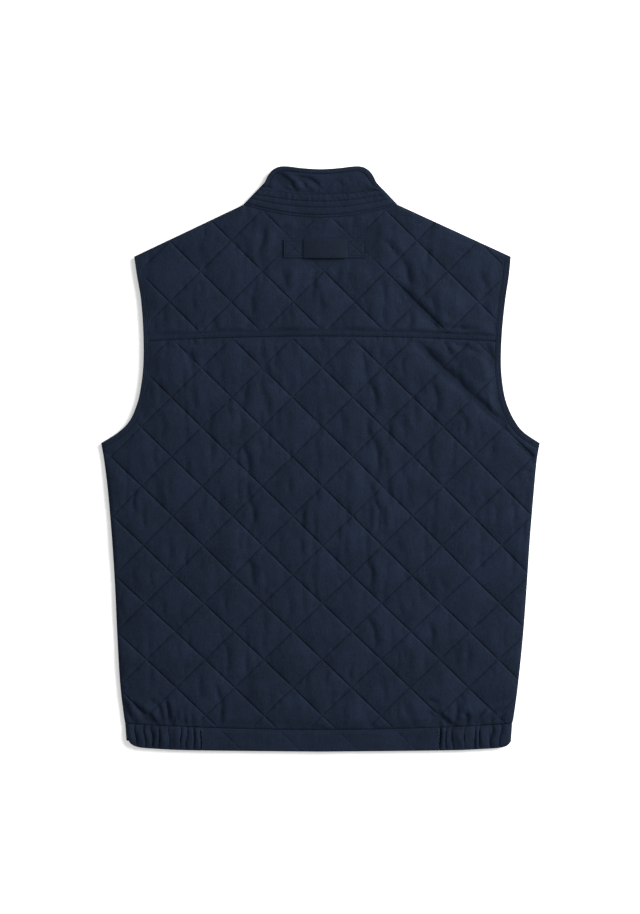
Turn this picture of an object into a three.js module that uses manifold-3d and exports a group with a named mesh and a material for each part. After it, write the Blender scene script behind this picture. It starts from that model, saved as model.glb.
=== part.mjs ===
// A quilted vest with a stand collar, laid flat with its back up and its front zip closed underneath.
//
// Millimetres, +Z up, the collar towards +Y and the wearer's left towards -X. The vest is a tube of cloth
// pressed into two layers: the fronts lie on the surface at z = 0 and the back lies on them. The layers turn
// into each other along folds at the sides, the shoulders and the ends of the collar, and stay apart by a
// thin gap everywhere else, so neck, armholes and hem are open.

import * as THREE from "three";
import { mergeVertices } from "three/addons/utils/BufferGeometryUtils.js";
import Module from "manifold-3d";

const wasm = await Module();
wasm.setup();

// Driving sizes
const FRONT_WALL = 4.6; // thickness of the fronts, pressed flat against the surface
const LAYER_GAP = 0.6; // between the fronts and the back
const STITCH_WALL = 2.2; // thickness of the back along a line of stitching
const PUFF = 3.0; // how much thicker a quilted diamond is at its middle
const FOLD_REACH = 7; // distance from a fold over which the outer face rolls over
const FOLD_WALL = 4; // thickness of the cloth at a fold, seen from above
const SEAM_GAP = 0.3; // between two pieces that are sewn together
const EDGE_STEP = 12; // spacing of points along a panel's edge
const BINDING = 7.5; // width of the binding round an armhole
const FRONT_SCOOP = 12; // how much deeper the armhole is cut in front
const ZIP_OPENING = 14; // between the two front edges, filled by the zip

const MID = FRONT_WALL + LAYER_GAP / 2; // height of the folds
const BACK_INNER = FRONT_WALL + LAYER_GAP; // height of the back's inner face
const HALF_GAP = SEAM_GAP / 2;
const FOLD_STATIONS = [0.8, 3, FOLD_REACH]; // distances from a fold where points are needed

// Outline of the laid vest. y is measured along the centre line from the middle of its length; left and
// right are how far each edge reaches from the centre line.
const ARMHOLE = [
  { y: 255.2, left: 235.0, right: 240.0 },
  { y: 230.0, left: 231.2, right: 237.5 },
  { y: 199.7, left: 226.2, right: 233.0 },
  { y: 159.4, left: 223.4, right: 228.9 },
  { y: 119.1, left: 223.4, right: 227.6 },
  { y: 88.8, left: 226.8, right: 230.4 },
  { y: 68.7, left: 231.5, right: 235.2 },
  { y: 48.5, left: 240.5, right: 244.6 },
  { y: 34.0, left: 254.5, right: 256.0 },
  { y: 20.0, left: 276.6, right: 276.6 },
];
const SIDE = [
  { y: 20.0, left: 276.6, right: 276.6 },
  { y: -1.9, left: 272.8, right: 272.8 },
  { y: -42.2, left: 267.9, right: 269.0 },
  { y: -102.7, left: 262.8, right: 264.0 },
  { y: -163.2, left: 259.0, right: 260.0 },
  { y: -223.7, left: 256.2, right: 255.4 },
  { y: -284.1, left: 252.6, right: 249.2 },
  { y: -324.5, left: 247.8, right: 243.8 },
  { y: -333.4, left: 246.3, right: 241.8 },
];
const HEM_EDGE = [
  { reach: 0, y: -368.9 },
  { reach: 150, y: -367.4 },
  { reach: 205, y: -365.4 },
  { reach: 232, y: -362.6 },
  { reach: 243, y: -355.0 },
];

// Seams across the body: y at the centre line, and how far the seam rises or falls by the reach given
const YOKE_SEAM = { y: 154.6, rise: -6, reach: 213 };
const HEM_SEAM = { y: -341.4, rise: 8, reach: 246 };

// Collar, by the lines that run round it, each from the centre to the fold at the side. On the back they
// are given point by point. On the front they rise to the fold from the height y at the zip.
const COLLAR_BACK = {
  neck: [
    { x: 0, y: 304.4 },
    { x: 30, y: 306.0 },
    { x: 55, y: 309.7 },
    { x: 78, y: 315.0 },
    { x: 90, y: 318.4 },
    { x: 97.3, y: 320.8 },
  ],
  band: [
    { x: 0, y: 333.4 },
    { x: 25, y: 334.2 },
    { x: 50, y: 336.6 },
    { x: 66, y: 338.6 },
    { x: 72.5, y: 338.6 },
    { x: 77.9, y: 341.1 },
  ],
  binding: [
    { x: 0, y: 359.2 },
    { x: 22, y: 360.5 },
    { x: 40, y: 362.7 },
    { x: 50, y: 362.3 },
    { x: 56.5, y: 358.8 },
    { x: 61, y: 353.0 },
    { x: 64.2, y: 346.8 },
    { x: 68.4, y: 343.0 },
    { x: 74.31, y: 344.81 },
  ],
  edge: [
    { x: 0, y: 365.0 },
    { x: 22.5, y: 366.3 },
    { x: 42, y: 368.6 },
    { x: 52, y: 368.2 },
    { x: 59.5, y: 364.8 },
    { x: 65.5, y: 358.4 },
    { x: 70.3, y: 349.0 },
  ],
};
const COLLAR_FRONT = {
  neck: { y: 241.3, power: 2.6 },
  band: { y: 270.3, power: 2.4 },
  edge: { y: 301, power: 2.2 },
};
const COLLAR_BINDING = 5.8; // width
// How far the middle of each strip stands above its stitched edges, and how far a bound edge drops
const BAND_RISE = 0.8;
const UPPER_RISE = 1.6;
const COLLAR_BINDING_RISE = 0.9;
const BINDING_RISE = 0.5;
const HEM_RISE = 0.6;
const EDGE_DROP = 0.7;
const COLLAR_STAND = 4.2; // how far the back of the collar stands up in its middle
const COLLAR_ARCH = 0.7; // share of this that is lost towards the folds

// Quilting: nodes of the diamonds, and the diamonds' width and height. Where the hem draws the cloth in,
// below gatherY, they are shorter and narrower.
const QUILT_BODY = {
  x0: 2,
  y0: 189.9,
  wide: 76.2,
  tall: 74.8,
  gatherY: -146.7,
  gatherTall: 70.8,
  taper: 2.6, // how much narrower they are at taperY
  taperY: -289,
};
const QUILT_YOKE = {
  x0: 4,
  y0: 236.5,
  wide: 77.9,
  tall: 77.4,
  gatherY: 0,
  gatherTall: 77.4,
  taper: 0,
  taperY: -1,
};
const QUILT_LINES = 14; // as many stitch lines on either side of a lattice's first reach all round a panel
const QUILT_STEPS = 4; // facets along each side of a diamond
const QUILT_CLEAR = 6.5; // between a point of the quilting and any other
const PUFF_SHAPE = 0.55; // below 1 the diamonds rise steeply and have a flat middle
const CALM = 15; // distance from a seam over which the puff of the diamonds grows

// Hem: elastic casings at the sides, gathered into ridges, and plain bands between them
const CASING_INNER = 149.6; // from the centre line to the seam between casing and band
const GATHER_RISE = 3.6; // of the widest gather
const CASING_PULL = 1.6; // how much further in than the seam the casing's lower edge turns under
// The gathers' valleys, by their distance from the centre line
const VALLEYS = {
  left: [161.9, 169.5, 177.0, 192.2, 206.0, 213.6, 221.1, 233.7],
  right: [159.4, 167.0, 183.3, 194.7, 201.0, 214.8, 226.2],
};

// Hanger loop on the yoke, and the sleeve of ribbon round its middle
const HANGER = { x: 5.4, y: 265.1, long: 102.8, wide: 23.2, thick: 1.2, bow: 3.0, sewn: 21 };
const SLEEVE = { long: 53.4, wall: 0.6, clear: 0.3 };

// Zip, closed. Heights are from the surface, under the vest
const ZIP = {
  tapeEdge: 1.9,
  tapeLow: 3.2,
  tapeHigh: 4.0,
  chainHalf: 1.6,
  chainLow: 2.8,
  chainHigh: 4.5,
  bottomY: -364,
  topY: 299,
};
const SLIDER = { long: 11, half: 4.4, post: 1.5, low: 2.2, plate: 0.7, high: 4.25, cover: 0.6, y: 286 };
const BAIL = { half: 1.0, low: 0.25, beam: 0.6, long: 7, leg: 1.2, corner: 0.5, root: 0.2 };
const PULL = {
  z: 1.5,
  bar: 0.8,
  armIn: 1.5,
  armOut: 3.2,
  thick: 0.8,
  long: 27,
  frame: 6,
  slot: 4.5,
  slotHalf: 1.6,
  neck: 1, // from the frame's window to where the tab starts to widen
  widest: 1.35, // times armOut
  end: 2, // how far the tab's end is rounded
};
const BOX = { long: 9, half: 4.4, y: -361 };

// Finishes
const NAVY = 0x202a38;
const shell = new THREE.MeshStandardMaterial({ color: NAVY, roughness: 0.72, metalness: 0 });
const trim = new THREE.MeshStandardMaterial({ color: 0x1c2533, roughness: 0.8, metalness: 0 });
const ribbon = new THREE.MeshStandardMaterial({ color: 0x1e2636, roughness: 0.5, metalness: 0 });
const zipMetal = new THREE.MeshStandardMaterial({ color: 0x2a2f38, roughness: 0.4, metalness: 0.8 });

const vec2 = (x, y) => new THREE.Vector2(x, y);
const { clamp, lerp, smoothstep } = THREE.MathUtils;

// Plan curves

const reachOf = (row, side) => (side < 0 ? -row.left : row.right);
const edgeCurve = (table, side) => new THREE.SplineCurve(table.map((row) => vec2(reachOf(row, side), row.y)));
const armholeCurves = { [-1]: edgeCurve(ARMHOLE, -1), 1: edgeCurve(ARMHOLE, 1) };
const sideCurves = { [-1]: edgeCurve(SIDE, -1), 1: edgeCurve(SIDE, 1) };
const seamY = (seam, x) => seam.y + seam.rise * (x / seam.reach) ** 2;

const hemCurve = new THREE.SplineCurve(HEM_EDGE.map((row) => vec2(row.reach, row.y)));

// The hem's lower edge at a given distance from the centre line
function hemEdgeY(x) {
  let low = 0;
  let high = 1;
  for (let i = 0; i < 30; i++) {
    const middle = (low + high) / 2;
    if (hemCurve.getPoint(middle).x < Math.abs(x)) low = middle;
    else high = middle;
  }
  return hemCurve.getPoint(low).y;
}

const shoulderTip = (side) => armholeCurves[side].getPoint(0);
const underarm = (side) => armholeCurves[side].getPoint(1);

// Direction from the armhole's edge into the cloth. At its two ends it runs along the folds.
function armholeInward(side, u) {
  const tangent = armholeCurves[side].getTangentAt(u);
  const normal = vec2(side * tangent.y, -side * tangent.x);
  const alongShoulder = neckPoint(side).sub(shoulderTip(side)).normalize();
  const alongSide = sideCurves[side].getPoint(0.06).sub(underarm(side)).normalize();
  const start = 1 - smoothstep(u, 0, 0.1);
  const end = smoothstep(u, 0.82, 1);
  return normal
    .multiplyScalar(1 - start - end)
    .addScaledVector(alongShoulder, start)
    .addScaledVector(alongSide, end)
    .normalize();
}

// A point at share u along an armhole, w in from its edge. The front is cut deeper than the back.
function armholePoint(side, front, u, w) {
  const scoop = front ? FRONT_SCOOP * Math.sin(Math.PI * u) ** 0.8 : 0;
  return armholeCurves[side].getPointAt(u).addScaledVector(armholeInward(side, u), scoop + w);
}

// Lines round the collar, right half: along is 0 at the centre and 1 at the fold

const zipX = ZIP_OPENING / 2;
const mirrored = (point) => vec2(-point.x, point.y);
const bothSides = (points) => new THREE.SplineCurve([...points.slice(1).reverse().map(mirrored), ...points]);

const foldEnd = (line) => COLLAR_BACK[line][COLLAR_BACK[line].length - 1];
const foldTop = foldEnd("edge");

function frontLine(line) {
  const STEPS = 12;
  const { y, power } = COLLAR_FRONT[line];
  const end = foldEnd(line);
  const points = Array.from({ length: STEPS + 1 }, (_, i) => {
    const t = (i / STEPS) ** 0.8;
    return vec2(lerp(zipX, end.x, t), lerp(y, end.y, t ** power));
  });
  return new THREE.SplineCurve(points);
}

const collarCurves = { back: {}, front: {} };
for (const line of Object.keys(COLLAR_BACK))
  collarCurves.back[line] = bothSides(COLLAR_BACK[line].map((row) => vec2(row.x, row.y)));
for (const line of Object.keys(COLLAR_FRONT)) collarCurves.front[line] = frontLine(line);

const neckPoint = (side) => vec2(side * foldEnd("neck").x, foldEnd("neck").y);
const upCollarFold = vec2(foldTop.x, foldTop.y).sub(neckPoint(1)).normalize();

// A point of a named line. On the front the binding's seam is at the binding's width from the edge.
function linePoint(front, line, along) {
  if (!front) return collarCurves.back[line].getPointAt(0.5 + along / 2);
  const curve = collarCurves.front[line === "binding" ? "edge" : line];
  const point = curve.getPointAt(along);
  if (line !== "binding") return point;
  const tangent = curve.getTangentAt(along);
  const across = vec2(-tangent.y, tangent.x).lerp(upCollarFold, smoothstep(along, 0.86, 1)).normalize();
  return point.addScaledVector(across, -COLLAR_BINDING);
}

// A point of the collar on a named line, moved by shift across the line, towards the collar's top. At the
// fold, where the lines of back and front meet at an angle, it moves twice as far along the fold.
function collarPoint(side, front, line, along, shift) {
  const STEP = 0.004;
  const before = linePoint(front, line, Math.max(along - STEP, front ? 0 : -1));
  const after = linePoint(front, line, Math.min(along + STEP, 1));
  const tangent = after.sub(before).normalize();
  const alongFold = upCollarFold.clone().multiplyScalar(2);
  const across = vec2(-tangent.y, tangent.x).lerp(alongFold, smoothstep(along, 0.965, 1));
  const point = linePoint(front, line, along).addScaledVector(across, shift);
  return vec2(side * point.x, point.y);
}

// How far the back of the collar stands up at a point of the plan that has passed the front collar's edge
function collarStand(point, distance) {
  const share = clamp(Math.abs(point.x) / foldTop.x, 0, 1);
  const frontY = lerp(COLLAR_FRONT.edge.y, foldTop.y, share ** COLLAR_FRONT.edge.power);
  const arched = 1 - COLLAR_ARCH * share ** 2;
  return COLLAR_STAND * arched * smoothstep(point.y - frontY, 4, 45) * smoothstep(distance, 2, 20);
}

// Quilting

const quiltWide = (quilt, y) => quilt.wide - quilt.taper * clamp(y / quilt.taperY, 0, 1);

// Numbers of the two stitch lines through a point; a whole number is on a line
function quiltLines(quilt, x, y) {
  const row =
    (quilt.y0 - Math.max(y, quilt.gatherY)) / quilt.tall + Math.max(quilt.gatherY - y, 0) / quilt.gatherTall;
  const column = (x - quilt.x0) / quiltWide(quilt, y);
  return [column + row, column - row];
}

function quiltPoint(quilt, p, q) {
  const row = (p - q) / 2;
  const gatherRow = (quilt.y0 - quilt.gatherY) / quilt.tall;
  const y =
    row < gatherRow ? quilt.y0 - row * quilt.tall : quilt.gatherY - (row - gatherRow) * quilt.gatherTall;
  return vec2(quilt.x0 + ((p + q) / 2) * quiltWide(quilt, y), y);
}

// 0 on a stitch line and 1 in the middle of a diamond
function pillow(quilt, x, y) {
  const [p, q] = quiltLines(quilt, x, y);
  return Math.abs(Math.sin(Math.PI * p) * Math.sin(Math.PI * q)) ** PUFF_SHAPE;
}

// Distances

function distanceTo(point, line) {
  let best = Infinity;
  for (let i = 1; i < line.length; i++) {
    const along = line[i].clone().sub(line[i - 1]);
    const t = clamp(point.clone().sub(line[i - 1]).dot(along) / along.lengthSq(), 0, 1);
    best = Math.min(best, line[i - 1].clone().addScaledVector(along, t).distanceTo(point));
  }
  return best;
}

const nearest = (point, lines) => Math.min(Infinity, ...lines.map((line) => distanceTo(point, line)));

// Direction from the nearest of some folds into the cloth, which lies on the left of each
function inwardFrom(point, folds) {
  const spans = folds.flatMap((line) => line.slice(1).map((end, i) => [line[i], end]));
  const [from, to] = spans.reduce((a, b) => (distanceTo(point, b) < distanceTo(point, a) - 1e-6 ? b : a));
  const along = to.clone().sub(from).normalize();
  return vec2(-along.y, along.x);
}

// How far the outer face has rolled over at a distance from a fold: 0 at the fold, 1 on the flat
const roll = (distance) => Math.sqrt(1 - (1 - clamp(distance / FOLD_REACH, 0, 1)) ** 2);

// A point moved by a hair, so that no three of a set lie on one line and no four on one circle
const HAIR = 1e-3;
const nudged = (point, i) =>
  vec2(point.x + HAIR * Math.sin(12.9898 * i), point.y + HAIR * Math.sin(78.233 * i + 1));

// Triangles between points of the plane, by Bowyer and Watson's method
function delaunay(points) {
  const FAR = 1e5;
  const at = points.map((point, i) => nudged(point, i).toArray());
  const count = at.length;
  at.push([-FAR, -FAR], [FAR, -FAR], [0, FAR]);
  const circle = (a, b, c) => {
    const [ax, ay] = at[a];
    const bx = at[b][0] - ax;
    const by = at[b][1] - ay;
    const cx = at[c][0] - ax;
    const cy = at[c][1] - ay;
    const d = 2 * (bx * cy - by * cx);
    const x = (cy * (bx * bx + by * by) - by * (cx * cx + cy * cy)) / d;
    const y = (bx * (cx * cx + cy * cy) - cx * (bx * bx + by * by)) / d;
    return { corners: [a, b, c], x: ax + x, y: ay + y, r2: x * x + y * y };
  };
  let triangles = [circle(count, count + 1, count + 2)];
  for (let i = 0; i < count; i++) {
    const rim = new Map();
    const kept = [];
    for (const triangle of triangles) {
      const dx = at[i][0] - triangle.x;
      const dy = at[i][1] - triangle.y;
      if (dx * dx + dy * dy >= triangle.r2) {
        kept.push(triangle);
        continue;
      }
      const [a, b, c] = triangle.corners;
      for (const [from, to] of [[a, b], [b, c], [c, a]]) {
        if (!rim.delete(`${to},${from}`)) rim.set(`${from},${to}`, [from, to]);
      }
    }
    for (const [from, to] of rim.values()) kept.push(circle(from, to, i));
    triangles = kept;
  }
  return triangles.map((triangle) => triangle.corners).filter((corners) => corners.every((k) => k < count));
}

function inside(point, loop) {
  let within = false;
  for (let i = 0, j = loop.length - 1; i < loop.length; j = i++) {
    const a = loop[i];
    const b = loop[j];
    if (a.y > point.y !== b.y > point.y && point.x < ((b.x - a.x) * (point.y - a.y)) / (b.y - a.y) + a.x)
      within = !within;
  }
  return within;
}

// Meshes

const STATION_CLEAR = 0.7; // share of its distance from the fold that a point there keeps from others
const SLIVER = 0.02; // triangles smaller than this only join points that lie on one line

function meshOf(name, positions, triangles, material) {
  const geometry = new THREE.BufferGeometry();
  geometry.setAttribute("position", new THREE.Float32BufferAttribute(positions.flat(), 3));
  geometry.setIndex(triangles.flat());
  geometry.computeVertexNormals();
  const mesh = new THREE.Mesh(geometry, material);
  mesh.name = name;
  return mesh;
}

// Two triangles on four corners, of which a and d, and b and c, are opposite. They meet along the shorter
// diagonal, so that two pieces with the same corners along a seam are split alike.
function quad(positions, a, b, c, d) {
  const apart = (i, j) => Math.hypot(...positions[i].map((value, axis) => value - positions[j][axis]));
  return apart(a, d) < apart(b, c) ? [[a, b, d], [a, d, c]] : [[a, b, c], [b, d, c]];
}

// A flat piece of cloth. edges run round it, anticlockwise from above, each a list of points with
// fold: true where the cloth turns under. One face is plain, at the layers' gap; the other, on the
// outside, is at the height that outerZ gives, and gets the points of the quilting in quilt.
function panel({ name, edges, up, quilt, outerZ, edgeZ, material }) {
  const loop = edges.flatMap((edge) => edge.points.slice(0, -1));
  const folds = edges.filter((edge) => edge.fold).map((edge) => edge.points);
  const seams = edges.filter((edge) => !edge.fold).map((edge) => edge.points);

  const points = loop.slice();
  const add = (point, clearance) => {
    if (!inside(point, loop) || nearest(point, [[...loop, loop[0]]]) < clearance) return;
    if (points.every((other) => other.distanceTo(point) > clearance)) points.push(point);
  };
  for (const line of folds) {
    for (const step of FOLD_STATIONS) {
      for (let i = 0; i < line.length; i++) {
        const before = line[Math.max(i - 1, 0)];
        const after = line[Math.min(i + 1, line.length - 1)];
        const along = after.clone().sub(before).normalize();
        add(line[i].clone().add(vec2(-along.y, along.x).multiplyScalar(step)), step * STATION_CLEAR);
      }
    }
  }
  if (quilt) {
    const STEP = 1 / QUILT_STEPS;
    for (let p = -QUILT_LINES; p <= QUILT_LINES; p += STEP)
      for (let q = -QUILT_LINES; q <= QUILT_LINES; q += STEP) add(quiltPoint(quilt, p, q), QUILT_CLEAR);
  }

  const count = points.length;
  const positions = points.map((point, i) => {
    const fold = nearest(point, folds);
    const seam = nearest(point, seams);
    const z = i < loop.length ? edgeZ(point, fold) : outerZ(point, fold, seam);
    return [point.x, point.y, z];
  });
  const triangles = delaunay(points).filter((corners) => {
    const [a, b, c] = corners.map((k) => points[k]);
    const area = b.clone().sub(a).cross(c.clone().sub(a)) / 2;
    return area > SLIVER && inside(a.clone().add(b).add(c).divideScalar(3), loop);
  });

  // The inner face has the same outline, drawn in by the cloth's thickness where it turns under
  const innerLoop = loop.map((point) => {
    const drawnIn = FOLD_WALL * (1 - clamp(nearest(point, folds) / FOLD_REACH, 0, 1));
    return drawnIn > 0 ? point.clone().addScaledVector(inwardFrom(point, folds), drawnIn) : point.clone();
  });
  const innerZ = up ? BACK_INNER : FRONT_WALL;
  for (const point of innerLoop) positions.push([point.x, point.y, innerZ]);
  const nudgedLoop = innerLoop.map(nudged);
  const innerFaces = THREE.ShapeUtils.triangulateShape(nudgedLoop, []).map((face) => {
    const [a, b, c] = face.map((k) => nudgedLoop[k]);
    const turn = b.clone().sub(a).cross(c.clone().sub(a));
    return (turn > 0 ? face : [face[0], face[2], face[1]]).map((k) => k + count);
  });

  const faces = [];
  for (const [a, b, c] of triangles) faces.push(up ? [a, b, c] : [a, c, b]);
  for (const [a, b, c] of innerFaces) faces.push(up ? [a, c, b] : [a, b, c]);
  loop.forEach((_, i) => {
    const j = (i + 1) % loop.length;
    if (up) faces.push(...quad(positions, j, i, count + j, count + i));
    else faces.push(...quad(positions, i, j, count + i, count + j));
  });
  return meshOf(name, positions, faces, material);
}

// A strip of cloth whose cross sections are loops of points; the first and last are capped unless it is
// closed into a ring
function strip(name, sections, closed, material) {
  const size = sections[0].length;
  const positions = sections.flat();
  const faces = [];
  const spans = closed ? sections.length : sections.length - 1;
  for (let i = 0; i < spans; i++) {
    const next = (i + 1) % sections.length;
    for (let k = 0; k < size; k++) {
      const l = (k + 1) % size;
      faces.push(...quad(positions, i * size + k, i * size + l, next * size + k, next * size + l));
    }
  }
  if (!closed) {
    const last = (sections.length - 1) * size;
    for (let k = 0; k < size / 2 - 1; k++) {
      const [a, b, c, d] = [k, k + 1, size - 2 - k, size - 1 - k];
      faces.push([a, d, b], [b, d, c]);
      faces.push([last + a, last + b, last + d], [last + b, last + c, last + d]);
    }
  }
  const volume = faces.reduce((sum, [a, b, c]) => {
    const [p, q, r] = [a, b, c].map((k) => new THREE.Vector3(...positions[k]));
    return sum + p.dot(q.cross(r));
  }, 0);
  return meshOf(name, positions, volume > 0 ? faces : faces.map(([a, b, c]) => [a, c, b]), material);
}

// One cross section of a strip that follows the fold from the back round to the front. across gives a
// point of the plan for a share of the strip's width and a distance from the fold; rows lists those
// shares, each with the height of the outer face above the flat inner face. inward is the direction in
// which the inner face is drawn in from the fold.
function foldedSection(station, across, rows, inward, stand = () => 0) {
  const { up, distance } = station;
  const lift = roll(distance);
  const drawnIn = FOLD_WALL * (1 - clamp(distance / FOLD_REACH, 0, 1));
  const outer = rows.map(({ share, rise }) => {
    const point = across(up, share, distance);
    const flat = up ? BACK_INNER + rise + stand(point, distance) : 0;
    return [point.x, point.y, lerp(MID, flat, lift)];
  });
  const innerZ = distance === 0 ? MID : up ? BACK_INNER : FRONT_WALL;
  const inner = rows
    .map(({ share }) => across(up, share, distance).addScaledVector(inward, drawnIn))
    .map((point) => [point.x, point.y, innerZ + (up ? stand(point, distance) : 0)])
    .reverse();
  return [...outer, ...inner];
}

// Edges that neighbours share: each takes its own side of the seam's gap

function stations(length, step) {
  const count = Math.ceil(length / step);
  return Array.from({ length: count + 1 }, (_, i) => i / count);
}

const armholeLength = (side) => armholeCurves[side].getLength();

// Share of an armhole's length at which it meets the yoke seam
function yokeShare(side) {
  let low = 0;
  let high = 1;
  for (let i = 0; i < 30; i++) {
    const middle = (low + high) / 2;
    const point = armholePoint(side, false, middle, BINDING);
    if (point.y > seamY(YOKE_SEAM, point.x)) low = middle;
    else high = middle;
  }
  return low;
}

function armholeShares(side) {
  const ends = FOLD_STATIONS.map((distance) => distance / armholeLength(side));
  const between = stations(armholeLength(side), EDGE_STEP).filter(
    (u) => u > ends[2] + 0.01 && u < 1 - ends[2] - 0.01,
  );
  return [0, ...ends, ...between, ...ends.map((end) => 1 - end).reverse(), 1];
}

const collarShares = [0, 0.1, 0.2, 0.3, 0.4, 0.5, 0.6, 0.7, 0.8, 0.87, 0.93, 0.97, 0.992, 1];

const lineBetween = (from, to) =>
  stations(from.distanceTo(to), EDGE_STEP).map((t) => from.clone().lerp(to, t));

// Points along a seam across the body, with closer ones near an end that lies on a fold
function acrossSeam(seam, fromX, toX, shift, foldX = []) {
  const length = Math.abs(toX - fromX);
  const near = (x) => foldX.some((fold) => Math.abs(x - fold) < FOLD_REACH + 2 && x !== fold);
  const even = stations(length, EDGE_STEP).map((t) => lerp(fromX, toX, t)).filter((x) => !near(x));
  const close = foldX.flatMap((fold) => FOLD_STATIONS.map((step) => fold - Math.sign(fold) * step));
  const direction = Math.sign(toX - fromX);
  return [...even, ...close]
    .sort((a, b) => (a - b) * direction)
    .map((x) => vec2(x, seamY(seam, x) + shift));
}

function armholeEdge(side, front, from, to) {
  const shares = armholeShares(side).filter((u) => u > Math.min(from, to) && u < Math.max(from, to));
  const ordered = [Math.min(from, to), ...shares, Math.max(from, to)];
  const line = ordered.map((u) => armholePoint(side, front, u, BINDING + HALF_GAP));
  return from < to ? line : line.reverse();
}

function sideEdge(side, from, toY) {
  const curve = sideCurves[side];
  const line = stations(curve.getLength(), EDGE_STEP)
    .map((u) => curve.getPointAt(u))
    .filter((point) => point.y < from.y - 4 && point.y > toY + 4);
  const end = curve.getPoint(1);
  return [from, ...line, vec2(end.x, toY)];
}

// Backs

const ON_FOLD = 0.01; // a point nearer to a fold than this is on it
const HANGER_PRESS = 0.8; // share of the quilting's puff that the hanger loop takes away

function backEdgeZ(_, fold) {
  return fold < ON_FOLD ? MID + HALF_GAP : lerp(MID, BACK_INNER + STITCH_WALL, roll(fold));
}

function backOuterZ(quilt) {
  return (point, fold, seam) => {
    const calm = smoothstep(seam, 0, CALM) * (1 - HANGER_PRESS * underHanger(point));
    const flat = BACK_INNER + STITCH_WALL + PUFF * pillow(quilt, point.x, point.y) * calm;
    return lerp(MID + HALF_GAP, flat, roll(fold));
  };
}

// 1 under the hanger loop, which presses the quilting flat, and 0 away from it
function underHanger(point) {
  const dx = Math.abs(point.x - HANGER.x) - HANGER.long / 2;
  const dy = Math.abs(point.y - HANGER.y) - HANGER.wide / 2;
  return 1 - smoothstep(Math.max(dx, dy), 8, 22);
}

function backYoke() {
  const seamLine = (side) => armholePoint(side, false, yokeShare(side), BINDING + HALF_GAP).x;
  const neck = collarShares.map((along) => collarPoint(1, false, "neck", along, -HALF_GAP));
  const neckLine = [...neck.slice(1).reverse(), ...neck.map((point) => vec2(-point.x, point.y))];
  const shoulder = (side) => {
    const neckEnd = neckLine[side > 0 ? 0 : neckLine.length - 1];
    return lineBetween(armholePoint(side, false, 0, BINDING + HALF_GAP), neckEnd);
  };
  const left = armholeEdge(-1, false, 0, yokeShare(-1) - HALF_GAP / armholeLength(-1));
  const right = armholeEdge(1, false, yokeShare(1) - HALF_GAP / armholeLength(1), 0);
  const bottom = acrossSeam(YOKE_SEAM, seamLine(-1), seamLine(1), HALF_GAP);
  bottom[0] = left[left.length - 1];
  bottom[bottom.length - 1] = right[0];
  return panel({
    name: "back_yoke",
    edges: [
      { points: bottom },
      { points: right },
      { points: shoulder(1), fold: true },
      { points: neckLine },
      { points: shoulder(-1).reverse(), fold: true },
      { points: left },
    ],
    up: true,
    quilt: QUILT_YOKE,
    outerZ: backOuterZ(QUILT_YOKE),
    edgeZ: backEdgeZ,
    material: shell,
  });
}

function backBody() {
  const hemY = (x) => seamY(HEM_SEAM, x) + HALF_GAP;
  const corner = (side) => sideCurves[side].getPoint(1).x;
  const underarmCorner = (side) => armholePoint(side, false, 1, BINDING + HALF_GAP);
  const sideLine = (side) => sideEdge(side, underarmCorner(side), hemY(corner(side)));
  const left = sideLine(-1);
  const right = sideLine(1);
  const bottom = acrossSeam(HEM_SEAM, corner(-1), corner(1), HALF_GAP, [corner(-1), corner(1)]);
  const leftArm = armholeEdge(-1, false, yokeShare(-1) + HALF_GAP / armholeLength(-1), 1);
  const rightArm = armholeEdge(1, false, 1, yokeShare(1) + HALF_GAP / armholeLength(1));
  const top = acrossSeam(YOKE_SEAM, rightArm[rightArm.length - 1].x, leftArm[0].x, -HALF_GAP);
  top[0] = rightArm[rightArm.length - 1];
  top[top.length - 1] = leftArm[0];
  return panel({
    name: "back_body",
    edges: [
      { points: bottom },
      { points: right.reverse(), fold: true },
      { points: rightArm },
      { points: top },
      { points: leftArm },
      { points: left, fold: true },
    ],
    up: true,
    quilt: QUILT_BODY,
    outerZ: backOuterZ(QUILT_BODY),
    edgeZ: backEdgeZ,
    material: shell,
  });
}

// Fronts, from the zip to the side, lying on their outer faces

const frontEdgeZ = (_, fold) => (fold < ON_FOLD ? MID - HALF_GAP : lerp(MID, 0, roll(fold)));
const frontOuterZ = (_, fold) => lerp(MID - HALF_GAP, 0, roll(fold));

function frontPanel(side) {
  const corner = sideCurves[side].getPoint(1).x;
  const hemY = seamY(HEM_SEAM, corner) + HALF_GAP;
  const neckLine = collarShares.map((along) => collarPoint(side, true, "neck", along, -HALF_GAP));
  const shoulderCorner = armholePoint(side, true, 0, BINDING + HALF_GAP);
  const shoulder = lineBetween(neckLine[neckLine.length - 1], shoulderCorner);
  const arm = armholeEdge(side, true, 0, 1);
  const down = sideEdge(side, arm[arm.length - 1], hemY);
  const hem = acrossSeam(HEM_SEAM, corner, side * zipX, HALF_GAP, [corner]);
  const centre = lineBetween(hem[hem.length - 1], neckLine[0]);
  const round = [
    { points: neckLine },
    { points: shoulder, fold: true },
    { points: arm },
    { points: down, fold: true },
    { points: hem },
    { points: centre },
  ];
  const anticlockwise =
    side < 0 ? round : round.reverse().map((edge) => ({ ...edge, points: edge.points.slice().reverse() }));
  return panel({
    name: side < 0 ? "front_left" : "front_right",
    edges: anticlockwise,
    up: false,
    outerZ: frontOuterZ,
    edgeZ: frontEdgeZ,
    material: shell,
  });
}

// Armhole bindings: a ring from the shoulder down the back, round the side fold and up the front

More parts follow.
